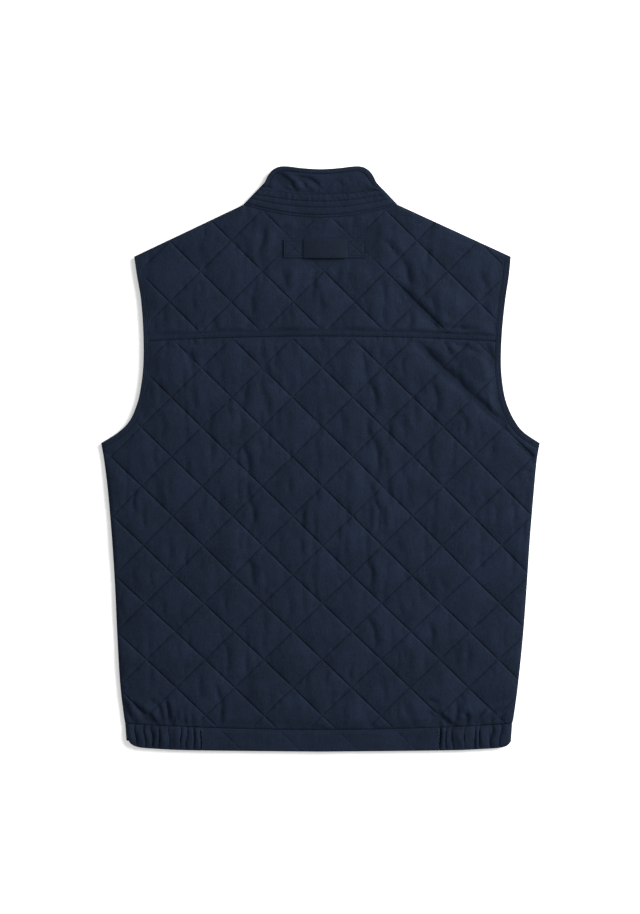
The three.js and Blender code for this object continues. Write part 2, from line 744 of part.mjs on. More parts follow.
function armholeBinding(side) {
  const length = armholeLength(side);
  const across = (fold) => (up, share, distance) => {
    const u = fold === "shoulder" ? distance / length : 1 - distance / length;
    return armholePoint(side, !up, clamp(u, 0, 1), lerp(0, BINDING - HALF_GAP, share));
  };
  const rows = [
    { share: 0, rise: STITCH_WALL - EDGE_DROP },
    { share: 0.14, rise: STITCH_WALL + BINDING_RISE },
    { share: 0.85, rise: STITCH_WALL + BINDING_RISE },
    { share: 1, rise: STITCH_WALL },
  ];
  const inward = {
    shoulder: armholeCurves[side].getTangentAt(0),
    underarm: armholeCurves[side].getTangentAt(1).negate(),
  };
  const half = (up) =>
    armholeShares(side)
      .slice(1, -1)
      .map((u) => {
        const fold = u < 0.5 ? "shoulder" : "underarm";
        const distance = (u < 0.5 ? u : 1 - u) * length;
        return foldedSection({ up, distance }, across(fold), rows, inward[fold]);
      });
  const atFold = (fold) => foldedSection({ up: true, distance: 0 }, across(fold), rows, inward[fold]);
  const sections = [atFold("shoulder"), ...half(true), atFold("underarm"), ...half(false).reverse()];
  return strip(side < 0 ? "binding_left" : "binding_right", sections, true, trim);
}

// Collar: each of its three strips runs from the zip round the left fold, across the back, round the
// right fold and back to the zip

function collarStrip(name, low, high, rows, material) {
  const reach = foldEnd("neck").x;
  const across = (side) => (up, t, distance) => {
    const along = 1 - distance / reach;
    const bottom = collarPoint(side, !up, low, along, HALF_GAP);
    const top = collarPoint(side, !up, high, along, high === "edge" ? 0 : -HALF_GAP);
    return bottom.lerp(top, t);
  };
  const inward = (side) => vec2(-side * upCollarFold.y, upCollarFold.x);
  const quarter = (side, up) =>
    collarShares
      .filter((along) => along < 1 && (!up || along > 0 || side > 0))
      .map((along) =>
        foldedSection({ up, distance: (1 - along) * reach }, across(side), rows, inward(side), collarStand),
      )
      .reverse();
  const fold = (side) => foldedSection({ up: true, distance: 0 }, across(side), rows, inward(side));
  const sections = [
    ...quarter(-1, false).reverse(),
    fold(-1),
    ...quarter(-1, true),
    ...quarter(1, true).reverse(),
    fold(1),
    ...quarter(1, false),
  ];
  return strip(name, sections, false, material);
}

// Along every seam the cloth is as thin as along its stitching
const BAND_ROWS = [
  { share: 0, rise: STITCH_WALL },
  { share: 0.1, rise: STITCH_WALL + BAND_RISE },
  { share: 0.5, rise: STITCH_WALL + BAND_RISE },
  { share: 0.9, rise: STITCH_WALL + BAND_RISE },
  { share: 1, rise: STITCH_WALL },
];
const UPPER_ROWS = [0, 0.25, 0.5, 0.75, 1].map((share) => ({
  share,
  rise: STITCH_WALL + UPPER_RISE * Math.sin(Math.PI * share),
}));
const BINDING_ROWS = [
  { share: 0, rise: STITCH_WALL },
  { share: 0.2, rise: STITCH_WALL + COLLAR_BINDING_RISE },
  { share: 0.8, rise: STITCH_WALL + COLLAR_BINDING_RISE },
  { share: 1, rise: STITCH_WALL - EDGE_DROP },
];

// Hem: plain bands and gathered casings

function bandStrip(name, fromX, toX, up) {
  const STEP = 25;
  const SEAM_WALL = 0.8; // share of the thickness that is left at the seam
  const ROUNDED = 0.8; // at the lower edge
  const [fromTop, fromBottom] = [3, 2];
  const sections = stations(Math.abs(toX - fromX), STEP).map((t) => {
    const x = lerp(fromX, toX, t);
    const top = seamY(HEM_SEAM, x) - HALF_GAP;
    const bottom = hemEdgeY(x);
    const outer = up ? BACK_INNER + STITCH_WALL + HEM_RISE : 0;
    const inner = up ? BACK_INNER : FRONT_WALL;
    return [
      [x, top, lerp(inner, outer, SEAM_WALL)],
      [x, top - fromTop, outer],
      [x, bottom + fromBottom, outer],
      [x, bottom, outer - (up ? ROUNDED : -ROUNDED)],
      [x, bottom, inner],
      [x, bottom + fromBottom, inner],
      [x, top - fromTop, inner],
      [x, top, inner],
    ];
  });
  return strip(name, sections, false, shell);
}

function hemCasing(side) {
  const foldX = Math.abs(sideCurves[side].getPoint(1).x);
  const seamX = CASING_INNER + HALF_GAP;
  const across = (up, t, distance) => {
    const x = foldX - distance;
    const top = seamY(HEM_SEAM, x) - HALF_GAP;
    const bottom = hemEdgeY(Math.min(x, HEM_EDGE[4].reach));
    const pulledIn = CASING_PULL * t * (1 - clamp(distance / FOLD_REACH, 0, 1));
    return vec2(side * (x - pulledIn), lerp(top, bottom, t));
  };
  // Each gather is a ridge between two valleys, highest across the middle of the casing
  const valleys = [seamX, ...(side < 0 ? VALLEYS.left : VALLEYS.right), foldX];
  const widest = Math.max(...valleys.slice(1).map((x, i) => x - valleys[i]));
  const RIDGE_STEPS = 4;
  const crests = valleys.slice(1).flatMap((to, i) => {
    const from = valleys[i];
    return Array.from({ length: RIDGE_STEPS }, (_, k) => ({
      distance: foldX - lerp(from, to, k / RIDGE_STEPS),
      height: GATHER_RISE * Math.sqrt((to - from) / widest) * Math.sin((Math.PI * k) / RIDGE_STEPS),
    }));
  });
  const rowsFor = (height) =>
    [0, 0.2, 0.5, 0.8, 1].map((share) => ({
      share,
      rise: STITCH_WALL + height * Math.sin(Math.PI * lerp(0.12, 0.9, share)),
    }));
  const flat = crests.filter((crest) => crest.distance > FOLD_REACH + 1);
  const nearFold = [...FOLD_STATIONS].reverse().map((distance) => ({ distance, height: GATHER_RISE * 0.6 }));
  const inward = vec2(-side, (-2 * HEM_SEAM.rise * foldX) / HEM_SEAM.reach ** 2).normalize();
  const sectionAt = (up) => (crest) =>
    foldedSection({ up, distance: crest.distance }, across, rowsFor(crest.height), inward);
  const front = [...flat.filter((_, i) => i % 6 === 0), ...nearFold].reverse();
  const sections = [
    ...[...flat, ...nearFold].map(sectionAt(true)),
    sectionAt(true)({ distance: 0, height: 0 }),
    ...front.map(sectionAt(false)),
  ];
  return strip(side < 0 ? "hem_casing_left" : "hem_casing_right", sections, false, shell);
}

// Hanger loop: a strap sewn down at both ends, and a ribbon sleeve round its raised middle

// Height of the strap's underside along its length
function strapLow(x) {
  const fromEnd = HANGER.long / 2 - Math.abs(x - HANGER.x);
  const highest = BACK_INNER + STITCH_WALL + PUFF * (1 - HANGER_PRESS);
  const loose = clamp((fromEnd - HANGER.sewn) / (HANGER.long / 2 - HANGER.sewn), 0, 1);
  return highest + SEAM_GAP + HANGER.bow * Math.sin((Math.PI / 2) * loose) ** 0.7;
}

function hangerStrap() {
  const STEP = 5;
  const sections = stations(HANGER.long, STEP).map((t) => {
    const x = HANGER.x + (t - 0.5) * HANGER.long;
    const [low, high] = [HANGER.y - HANGER.wide / 2, HANGER.y + HANGER.wide / 2];
    const z = strapLow(x);
    return [
      [x, low, z],
      [x, high, z],
      [x, high, z + HANGER.thick],
      [x, low, z + HANGER.thick],
    ];
  });
  return strip("hanger_loop", sections, false, trim);
}

function labelSleeve() {
  const STEP = 6;
  const sectionAt = (x, outer) => {
    const reach = SLEEVE.clear + (outer ? SLEEVE.wall : 0);
    const [low, high] = [HANGER.y - HANGER.wide / 2 - reach, HANGER.y + HANGER.wide / 2 + reach];
    const z = strapLow(x);
    return [
      [x, low, z - reach],
      [x, high, z - reach],
      [x, high, z + HANGER.thick + reach],
      [x, low, z + HANGER.thick + reach],
    ];
  };
  const xs = stations(SLEEVE.long, STEP).map((t) => HANGER.x + (t - 0.5) * SLEEVE.long);
  const outside = xs.map((x) => sectionAt(x, true));
  const lining = xs.map((x) => sectionAt(x, false)).reverse();
  return strip("label_sleeve", [...outside, ...lining], true, ribbon);
}

// Zip

function block(name, x, y, z, material) {
  const geometry = new THREE.BoxGeometry(x[1] - x[0], y[1] - y[0], z[1] - z[0]);
  const mesh = new THREE.Mesh(geometry, material);
  mesh.position.set((x[0] + x[1]) / 2, (y[0] + y[1]) / 2, (z[0] + z[1]) / 2);
  mesh.name = name;
  return mesh;
}

function zipTape(side) {
  const outer = ZIP_OPENING / 2 - SEAM_GAP;
  const x = side < 0 ? [-outer, -ZIP.tapeEdge] : [ZIP.tapeEdge, outer];
  const name = side < 0 ? "zip_tape_left" : "zip_tape_right";
  return block(name, x, [ZIP.bottomY, ZIP.topY], [ZIP.tapeLow, ZIP.tapeHigh], trim);
}

// A profile in the X-Z plane, carried along Y from y to y + long
function alongY(outline, y, long) {
  const shape = new THREE.Shape(outline.map(([x, z]) => vec2(x, z)));
  const geometry = new THREE.ExtrudeGeometry(shape, { depth: long, bevelEnabled: false });
  return geometry.rotateX(Math.PI / 2).translate(0, y + long, 0);
}

// Two plates that hold the tapes between them, joined by a post
function clampProfile(half) {
  const { post, low, plate, high, cover } = SLIDER;
  const right = [
    [half, low],
    [half, low + plate],
    [post, low + plate],
    [post, high],
    [half, high],
    [half, high + cover],
  ];
  return [...right, ...right.map(([x, z]) => [-x, z]).reverse()];
}

const PULL_PIVOT_Y = SLIDER.y + SLIDER.long / 2;

// The bail is a bridge under the lower plate, along the zip, and its feet sink into the plate
function slider() {
  const plates = solid(alongY(clampProfile(SLIDER.half), SLIDER.y, SLIDER.long));
  const end = BAIL.long / 2;
  const foot = SLIDER.low + BAIL.root;
  const outline = [
    [-end, foot],
    [-end, BAIL.low + BAIL.corner],
    [-end + BAIL.corner, BAIL.low],
    [end - BAIL.corner, BAIL.low],
    [end, BAIL.low + BAIL.corner],
    [end, foot],
    [end - BAIL.leg, foot],
    [end - BAIL.leg, BAIL.low + BAIL.beam],
    [-end + BAIL.leg, BAIL.low + BAIL.beam],
    [-end + BAIL.leg, foot],
  ];
  const bail = solid(
    alongY(outline, 0, 2 * BAIL.half)
      .translate(0, -BAIL.half, 0)
      .rotateZ(Math.PI / 2)
      .translate(0, PULL_PIVOT_Y, 0),
  );
  return fromSolid("zip_slider", plates.add(bail), zipMetal);
}

// The pull hangs from the slider's bail by the cross bar at the end of its frame
function pull() {
  const neck = -PULL.frame - PULL.neck;
  const [wide, wideY] = [PULL.armOut * PULL.widest, -PULL.long * 0.6];
  const corner = -PULL.long + PULL.end;
  const shape = new THREE.Shape();
  shape.moveTo(-PULL.armOut, PULL.bar / 2);
  shape.lineTo(-PULL.armOut, neck);
  shape.quadraticCurveTo(-wide, wideY, -PULL.armOut, corner);
  shape.quadraticCurveTo(0, -PULL.long - PULL.end, PULL.armOut, corner);
  shape.quadraticCurveTo(wide, wideY, PULL.armOut, neck);
  shape.lineTo(PULL.armOut, PULL.bar / 2);
  const frame = new THREE.Path();
  frame.moveTo(-PULL.armIn, -PULL.bar / 2);
  frame.lineTo(PULL.armIn, -PULL.bar / 2);
  frame.lineTo(PULL.armIn, -PULL.frame);
  frame.lineTo(-PULL.armIn, -PULL.frame);
  const slot = new THREE.Path();
  const slotEnd = -PULL.long + PULL.frame;
  slot.absarc(0, slotEnd + PULL.slot, PULL.slotHalf, 0, Math.PI, false);
  slot.absarc(0, slotEnd, PULL.slotHalf, Math.PI, 2 * Math.PI, false);
  shape.holes.push(frame, slot);
  const flat = { depth: PULL.thick, bevelEnabled: false, curveSegments: 6 };
  const mesh = new THREE.Mesh(new THREE.ExtrudeGeometry(shape, flat), zipMetal);
  mesh.position.set(0, PULL_PIVOT_Y, PULL.z - PULL.thick / 2);
  mesh.name = "zip_pull";
  return mesh;
}

function retainerBox() {
  const geometry = alongY(clampProfile(BOX.half), BOX.y, BOX.long);
  const mesh = new THREE.Mesh(geometry, zipMetal);
  mesh.name = "zip_box";
  return mesh;
}

// A closed geometry as a solid that can be joined to another
function solid(geometry) {
  const bare = geometry.clone();
  bare.deleteAttribute("normal");
  bare.deleteAttribute("uv");
  const merged = mergeVertices(bare, 1e-4);
  return new wasm.Manifold(
    new wasm.Mesh({
      numProp: 3,
      vertProperties: merged.attributes.position.array,
      triVerts: new Uint32Array(merged.index.array),
    }),
  );
}

function fromSolid(name, body, material) {
  const { vertProperties, triVerts } = body.getMesh();
  const geometry = new THREE.BufferGeometry();
  geometry.setAttribute("position", new THREE.BufferAttribute(vertProperties, 3));
  geometry.setIndex(new THREE.BufferAttribute(triVerts, 1));
  geometry.computeVertexNormals();
  const mesh = new THREE.Mesh(geometry, material);
  mesh.name = name;
  return mesh;
}

const vest = new THREE.Group();
vest.add(backYoke(), backBody());
for (const side of [-1, 1]) vest.add(frontPanel(side), armholeBinding(side), hemCasing(side), zipTape(side));
vest.add(collarStrip("collar_band", "neck", "band", BAND_ROWS, shell));
vest.add(collarStrip("collar_upper", "band", "binding", UPPER_ROWS, shell));
vest.add(collarStrip("collar_binding", "binding", "edge", BINDING_ROWS, trim));
vest.add(bandStrip("hem_back", -CASING_INNER + HALF_GAP, CASING_INNER - HALF_GAP, true));
vest.add(bandStrip("hem_front_left", -CASING_INNER + HALF_GAP, -ZIP_OPENING / 2, false));
vest.add(bandStrip("hem_front_right", ZIP_OPENING / 2, CASING_INNER - HALF_GAP, false));
vest.add(hangerStrap(), labelSleeve());
const chainBottom = BOX.y + BOX.long + SEAM_GAP;
const chainTop = SLIDER.y - SEAM_GAP;
const chainX = [-ZIP.chainHalf, ZIP.chainHalf];
vest.add(block("zip_chain", chainX, [chainBottom, chainTop], [ZIP.chainLow, ZIP.chainHigh], zipMetal));
vest.add(slider(), retainerBox(), pull());

export default vest;
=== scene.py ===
# %% [markdown]
# # A quilted vest, laid flat
# The vest lies with its back up on a pale floor, seen from straight above. Its shell is two layers of
# navy polyester with wadding between them, sewn together in diamonds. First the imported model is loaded
# as the frame: every new piece goes where one of its solids is, in metres, with +Z up.

import math

import bpy
import numpy as np
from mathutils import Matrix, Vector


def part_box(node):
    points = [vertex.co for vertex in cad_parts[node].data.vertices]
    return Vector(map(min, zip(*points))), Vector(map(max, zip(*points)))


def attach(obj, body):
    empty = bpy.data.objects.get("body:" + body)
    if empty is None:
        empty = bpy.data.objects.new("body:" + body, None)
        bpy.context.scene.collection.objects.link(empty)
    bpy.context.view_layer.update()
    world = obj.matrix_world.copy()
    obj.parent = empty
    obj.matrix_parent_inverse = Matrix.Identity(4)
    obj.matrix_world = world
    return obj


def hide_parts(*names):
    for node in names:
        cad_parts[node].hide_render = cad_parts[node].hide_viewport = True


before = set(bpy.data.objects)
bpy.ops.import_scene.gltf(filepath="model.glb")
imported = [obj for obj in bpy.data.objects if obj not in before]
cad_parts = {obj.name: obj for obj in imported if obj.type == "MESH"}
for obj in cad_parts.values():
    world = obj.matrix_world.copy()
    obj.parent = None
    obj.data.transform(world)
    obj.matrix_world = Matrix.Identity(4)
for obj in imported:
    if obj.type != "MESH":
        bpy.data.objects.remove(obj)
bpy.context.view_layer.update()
print("solids in the frame:", len(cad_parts))

# %% [markdown]
# ## Sizes
# The sizes are the pattern cutter's, in millimetres, and each mesh is scaled to metres as it is made.
# The fronts lie on the floor and the back lies on them, with a thin gap. The two layers turn into each
# other along folds at the sides and shoulders, at the height MID.

# %% Sizes
MM = 0.001
MID = 4.9  # height of the folds
BACK_INNER = 5.2  # height of the back's inner face
FRONT_INNER = 4.6  # height of the fronts' inner face
STITCH_WALL = 2.2  # thickness of the back along its stitching
PUFF = 2.5  # how much thicker a diamond is at its middle
FOLD_REACH = 7.0  # distance from a fold over which the cloth rolls over
FOLD_WALL = 4.0  # thickness of the cloth at a fold
HALF_GAP = 0.15  # half the gap of a seam
SEAM_LEAN = 0.8  # how far the walls of a seam over the bare floor lean
BINDING = 7.5  # width of the armholes' binding
ARMHOLE = [  # left reach, right reach, y
    (235.0, 240.0, 255.2),
    (231.2, 237.5, 230.0),
    (226.2, 233.0, 199.7),
    (223.4, 228.9, 159.4),
    (223.4, 227.6, 119.1),
    (226.8, 230.4, 88.8),
    (231.5, 235.2, 68.7),
    (240.5, 244.6, 48.5),
    (254.5, 256.0, 34.0),
    (276.6, 276.6, 20.0),
]
SIDE = [
    (276.6, 276.6, 20.0),
    (272.8, 272.8, -1.9),
    (267.9, 269.0, -42.2),
    (262.8, 264.0, -102.7),
    (259.0, 260.0, -163.2),
    (256.2, 255.4, -223.7),
    (252.6, 249.2, -284.1),
    (247.8, 243.8, -324.5),
    (246.3, 241.8, -333.4),
]
HEM_EDGE = [(0, -368.9), (150, -367.4), (205, -365.4), (232, -362.6), (243, -355.0)]
YOKE_SEAM = (154.6, -6, 213)  # y at the centre line, and its change by that reach
HEM_SEAM = (-341.4, 8, 246)
BAND_END = 149.75  # where the gathered casings meet the plain bands
NAMES = {-1: "left", 1: "right"}  # the two sides, by their sign along X

# %% [markdown]
# ## Curves of the pattern
# Each edge is a smooth curve through a few measured points, as a cutter draws it with a French curve.
# A helper gives points at equal shares of a curve's length, so that two pieces that are sewn together
# get the same edge.


# %% Curves
SHORT = 0.004  # share of a curve over which its heading is taken


def smooth_curve(points, steps=40):
    """A Catmull-Rom curve through the points, as a fine polyline."""
    at = np.array(points, float)
    at = np.vstack([at[:1], at, at[-1:]])
    t = np.linspace(0, 1, steps, endpoint=False)[:, None]
    spans = []
    for a, b, c, d in zip(at, at[1:], at[2:], at[3:]):
        v, w = (c - a) / 2, (d - b) / 2
        spans.append((2 * b - 2 * c + v + w) * t**3 + (-3 * b + 3 * c - 2 * v - w) * t**2 + v * t + b)
    return np.vstack([*spans, at[-1:]])


def lengths(curve):
    return np.r_[0, np.cumsum(np.linalg.norm(np.diff(curve, axis=0), axis=1))]


def at_share(curve, share):
    run = lengths(curve)
    here = np.clip(share, 0, 1) * run[-1]
    return np.stack([np.interp(here, run, curve[:, k]) for k in (0, 1)], -1)


def unit(vectors):
    return vectors / np.linalg.norm(vectors, axis=-1, keepdims=True)


def heading(curve, share):
    low, high = np.clip(np.subtract(share, SHORT), 0, 1), np.clip(np.add(share, SHORT), 0, 1)
    return unit(at_share(curve, high) - at_share(curve, low))


def smoothstep(x, low, high):
    t = np.clip((x - low) / (high - low), 0, 1)
    return t * t * (3 - 2 * t)


def mix(a, b, t):
    return a + (b - a) * t


def seam_y(seam, x):
    return seam[0] + seam[1] * (x / seam[2]) ** 2


def pattern_edge(table, side):
    return smooth_curve([(side * row[0 if side < 0 else 1], row[2]) for row in table])


armholes = {side: pattern_edge(ARMHOLE, side) for side in NAMES}
sides = {side: pattern_edge(SIDE, side) for side in NAMES}
hem_edge = smooth_curve(HEM_EDGE)
print("armhole", round(lengths(armholes[1])[-1]), "mm round the back")
print("side", round(lengths(sides[1])[-1]), "mm")


# %% [markdown]
# The collar is drawn as lines that run round it, from the zip to the fold at each side and across the
# back. The front ones rise towards the fold. At the fold the lines of front and back meet.

# %% Collar lines
COLLAR_BACK = {
    "neck": [(0, 304.4), (30, 306.0), (55, 309.7), (78, 315.0), (90, 318.4), (97.3, 320.8)],
    "band": [(0, 333.4), (25, 334.2), (50, 336.6), (66, 338.6), (72.5, 338.6), (77.9, 341.1)],
    "binding": [
        *[(0, 359.2), (22, 360.5), (40, 362.7), (50, 362.3), (56.5, 358.8)],
        *[(61, 353.0), (64.2, 346.8), (68.4, 343.0), (74.31, 344.81)],
    ],
    "edge": [
        *[(0, 365.0), (22.5, 366.3), (42, 368.6), (52, 368.2)],
        *[(59.5, 364.8), (65.5, 358.4), (70.3, 349.0)],
    ],
}
COLLAR_FRONT = {"neck": (241.3, 2.6), "band": (270.3, 2.4), "edge": (301, 2.2)}  # y at the zip, power
COLLAR_BINDING = 5.8  # width of the collar's binding
COLLAR_STAND = 4.2  # how far the back of the collar stands up in its middle
COLLAR_ARCH = 0.7  # share of that height which is lost at its ends
ZIP_EDGE = 7.0  # the front edges' distance from the centre line


def front_line(line):
    y, power = COLLAR_FRONT[line]
    end = COLLAR_BACK[line][-1]
    t = (np.arange(13) / 12) ** 0.8
    return smooth_curve(np.stack([mix(ZIP_EDGE, end[0], t), mix(y, end[1], t**power)], 1))


collar_back = {
    line: smooth_curve([(-x, y) for x, y in rows[:0:-1]] + rows) for line, rows in COLLAR_BACK.items()
}
collar_front = {line: front_line(line) for line in COLLAR_FRONT}
neck_end, fold_top = np.array(COLLAR_BACK["neck"][-1]), np.array(COLLAR_BACK["edge"][-1])
up_fold = unit(fold_top - neck_end)


def line_points(front, line, along):
    if not front:
        return at_share(collar_back[line], 0.5 + along / 2)
    curve = collar_front["edge" if line == "binding" else line]
    points = at_share(curve, along)
    if line != "binding":
        return points
    run = heading(curve, along)
    across = np.stack([-run[:, 1], run[:, 0]], 1)
    across = unit(mix(across, up_fold, smoothstep(along, 0.86, 1)[:, None]))
    return points - across * COLLAR_BINDING


def collar_points(side, front, line, along, shift):
    """Points of a collar line, moved by shift towards the collar's top."""
    before = line_points(front, line, np.maximum(along - SHORT, 0 if front else -1))
    after = line_points(front, line, np.minimum(along + SHORT, 1))
    run = unit(after - before)
    across = np.stack([-run[:, 1], run[:, 0]], 1)
    across = mix(across, 2 * up_fold, smoothstep(along, 0.965, 1)[:, None])
    return (line_points(front, line, along) + across * shift) * [side, 1]


def collar_stand(points, distance):
    """How far the back of the collar stands up, most in its middle."""
    share = np.clip(np.abs(points[..., 0]) / fold_top[0], 0, 1)
    front_y = mix(COLLAR_FRONT["edge"][0], fold_top[1], share ** COLLAR_FRONT["edge"][1])
    arched = COLLAR_STAND * (1 - COLLAR_ARCH * share**2)
    return arched * smoothstep(points[..., 1] - front_y, 4, 45) * smoothstep(distance, 2, 20)


print("the collar's folds lean in by", round(float(neck_end[0] - fold_top[0]), 1), "mm")


# %% [markdown]
# An armhole's edge is offset inwards by the binding's width. The front is cut deeper than the back, as
# on every vest, because the arms move forwards. At its two ends the offset runs along the folds.


# %% Armhole lines
SCOOP = 12  # how much deeper the front is cut
BELOW_UNDERARM = 19  # the point of a side's curve that gives its direction there


def armhole_inward(side, u):
    run = heading(armholes[side], u)
    normal = np.stack([side * run[:, 1], -side * run[:, 0]], 1)
    shoulder = unit(neck_end * [side, 1] - armholes[side][0])
    down = unit(sides[side][BELOW_UNDERARM] - armholes[side][-1])
    start, end = 1 - smoothstep(u, 0, 0.1)[:, None], smoothstep(u, 0.82, 1)[:, None]
    return unit(normal * (1 - start - end) + shoulder * start + down * end)


def armhole_points(side, front, u, w):
    u = np.atleast_1d(np.asarray(u, float))
    scoop = SCOOP * np.sin(np.pi * u) ** 0.8 if front else np.zeros_like(u)
    return at_share(armholes[side], u) + armhole_inward(side, u) * (scoop + w)[:, None]


def yoke_share(side):
    """Share of an armhole's length at which it meets the yoke seam, in the armhole's upper part."""
    u = np.linspace(0.05, 0.95, 2001)[:1400]
    points = armhole_points(side, False, u, BINDING)
    return float(np.interp(0, seam_y(YOKE_SEAM, points[:, 0]) - points[:, 1], u))


print("yoke seam at shares", round(yoke_share(-1), 3), round(yoke_share(1), 3), "of the armholes")

# %% [markdown]
# ## The quilting
# Two sets of stitch lines cross almost at right angles. A point's place in the lattice is given by two
# numbers, and where one of them is whole the point lies on a line of stitching. The hem draws the
# lowest diamonds in, so they are shorter and narrower.

# %% Lattices
DIAMOND_SIDE = 53.4
QUILT_BODY = {  # a crossing of the lines, a diamond's size, and how both shrink towards the hem
    **{"x0": 2, "y0": 189.9, "wide": 76.2, "tall": 74.8},
    **{"gather": (-146.7, 70.8), "taper": (2.6, -289)},
}
QUILT_YOKE = {"x0": 4, "y0": 236.5, "wide": 77.9, "tall": 77.4, "gather": (-900, 77.4), "taper": (0, -1)}
QUILT_FRONT = {**QUILT_BODY, "x0": 0}
QUILT_COLLAR = {**QUILT_YOKE, "x0": 4.4, "y0": 337.7}


def quilt_width(quilt, y):
    return quilt["wide"] - quilt["taper"][0] * np.clip(y / quilt["taper"][1], 0, 1)


def quilt_numbers(quilt, x, y):
    gather_y, gather_tall = quilt["gather"]
    row = (quilt["y0"] - np.maximum(y, gather_y)) / quilt["tall"] + np.maximum(gather_y - y, 0) / gather_tall
    column = (x - quilt["x0"]) / quilt_width(quilt, y)
    return column + row, column - row


def quilt_place(quilt, p, q):
    gather_y, gather_tall = quilt["gather"]
    row = (p - q) / 2
    turn = (quilt["y0"] - gather_y) / quilt["tall"]
    y = quilt["y0"] - np.minimum(row, turn) * quilt["tall"] - np.maximum(row - turn, 0) * gather_tall
    return np.stack([quilt["x0"] + (p + q) / 2 * quilt_width(quilt, y), y], -1)


def lattice_range(quilt, outline):
    """The whole numbers of the lattice between which an outline lies."""
    numbers = np.stack(quilt_numbers(quilt, outline[:, 0], outline[:, 1]), 1)
    return np.floor(numbers.min(0)), np.ceil(numbers.max(0))


def pillow(quilt, x, y, shape=0.55):
    """0 on a stitch line and 1 in the middle of a diamond."""
    p, q = quilt_numbers(quilt, x, y)
    return np.abs(np.sin(np.pi * p) * np.sin(np.pi * q)) ** shape


# %% [markdown]
# Cloth is never even. A small noise helper, the same at every run, gives slow waves and short puckers.
# Distances to a line are needed for folds, seams and creases, so they get a helper as well.


# %% Noise and distances
def lattice_value(i, j, seed):
    value = np.sin(i * 127.1 + j * 311.7 + seed * 74.7) * 43758.5453
    return 2 * (value - np.floor(value)) - 1


def noise(x, y, seed):
    """Smooth values from -1 to 1 that change over a distance of about 1."""
    i, j = np.floor(x), np.floor(y)
    u, v = x - i, y - j
    u, v = u * u * (3 - 2 * u), v * v * (3 - 2 * v)
    low = mix(lattice_value(i, j, seed), lattice_value(i + 1, j, seed), u)
    high = mix(lattice_value(i, j + 1, seed), lattice_value(i + 1, j + 1, seed), u)
    return mix(low, high, v)


def to_line(points, line):
    """Distance of each point from a polyline, the side of it that the point is on, the share along it."""
    best = np.full(len(points), 1e9)
    side, share = np.zeros(len(points)), np.zeros(len(points))
    run = lengths(line)
    for k in range(len(line) - 1):
        along = line[k + 1] - line[k]
        size = max(float(along @ along), 1e-9)
        t = np.clip((points - line[k]) @ along / size, 0, 1)
        away = points - line[k] - t[:, None] * along
        distance = np.linalg.norm(away, axis=1)
        near = distance < best
        best[near] = distance[near]
        side[near] = np.sign(along[0] * away[near, 1] - along[1] * away[near, 0])
        share[near] = (run[k] + t[near] * math.sqrt(size)) / run[-1]
    return best, side, share


def from_rim(points, outline):
    """Distance of each point from a closed outline."""
    return to_line(points, np.vstack([outline, outline[:1]]))[0]


def inside(points, loop):
    """Whether each point is inside a closed outline."""
    within = np.zeros(len(points), bool)
    for a, b in zip(loop, np.roll(loop, -1, 0)):
        between = (a[1] > points[:, 1]) != (b[1] > points[:, 1])
        rise = b[1] - a[1] if b[1] != a[1] else 1
        within ^= between & (points[:, 0] < a[0] + (b[0] - a[0]) * (points[:, 1] - a[1]) / rise)
    return within


def roll(distance):
    """How far the outer face has rolled over: 0 at a fold and 1 on the flat."""
    return np.sqrt(1 - (1 - np.clip(distance / FOLD_REACH, 0, 1)) ** 2)


def drawn_in(distance):
    """How far the inner face stays back from a fold."""
    return FOLD_WALL * (1 - np.clip(distance / FOLD_REACH, 0, 1))


# %% [markdown]
# ## Cutting out a quilted panel
# A panel starts as a plain grid. It is turned and stretched so that its rows follow the stitch lines,
# with a few close rows next to them, because the stitched notch is sharp and a diamond's middle is smooth.
# Its rim is pulled down and closed, which makes a slab, and a boolean with the outline cuts it out, as
# scissors would. Only then do its points get their heights.


# %% Panel helper
def deselect():
    bpy.ops.object.select_all(action="DESELECT")


def edit(thing):
    deselect()
    thing.select_set(True)
    bpy.context.view_layer.objects.active = thing
    bpy.ops.object.mode_set(mode="EDIT")
    bpy.ops.mesh.select_mode(type="VERT")
    bpy.ops.mesh.select_all(action="SELECT")


def points_of(thing):
    at = np.zeros(len(thing.data.vertices) * 3)
    thing.data.vertices.foreach_get("co", at)
    return at.reshape(-1, 3)


def move_points(thing, at):
    thing.data.vertices.foreach_set("co", np.asarray(at, float).ravel())
    thing.data.update()


def apply(thing, *modifiers):
    bpy.context.view_layer.objects.active = thing
    for modifier in modifiers:
        bpy.ops.object.modifier_apply(modifier=modifier)


def select_rim():
    bpy.ops.mesh.select_all(action="DESELECT")
    bpy.ops.mesh.select_non_manifold()


def turn_out():
    """Turns all faces outwards and leaves edit mode."""
    bpy.ops.mesh.select_all(action="SELECT")
    bpy.ops.mesh.normals_make_consistent(inside=False)
    bpy.ops.object.mode_set(mode="OBJECT")


CLOSE_ROWS = np.array([0.011, 0.024, 0.042])  # shares of a diamond's side


def diamond_rows(steps):
    """Places of the grid's rows across one diamond."""
    wide_rows = np.linspace(0.07, 0.93, steps - 1 - 2 * len(CLOSE_ROWS))
    return np.r_[0, CLOSE_ROWS, wide_rows, 1 - CLOSE_ROWS[::-1]]


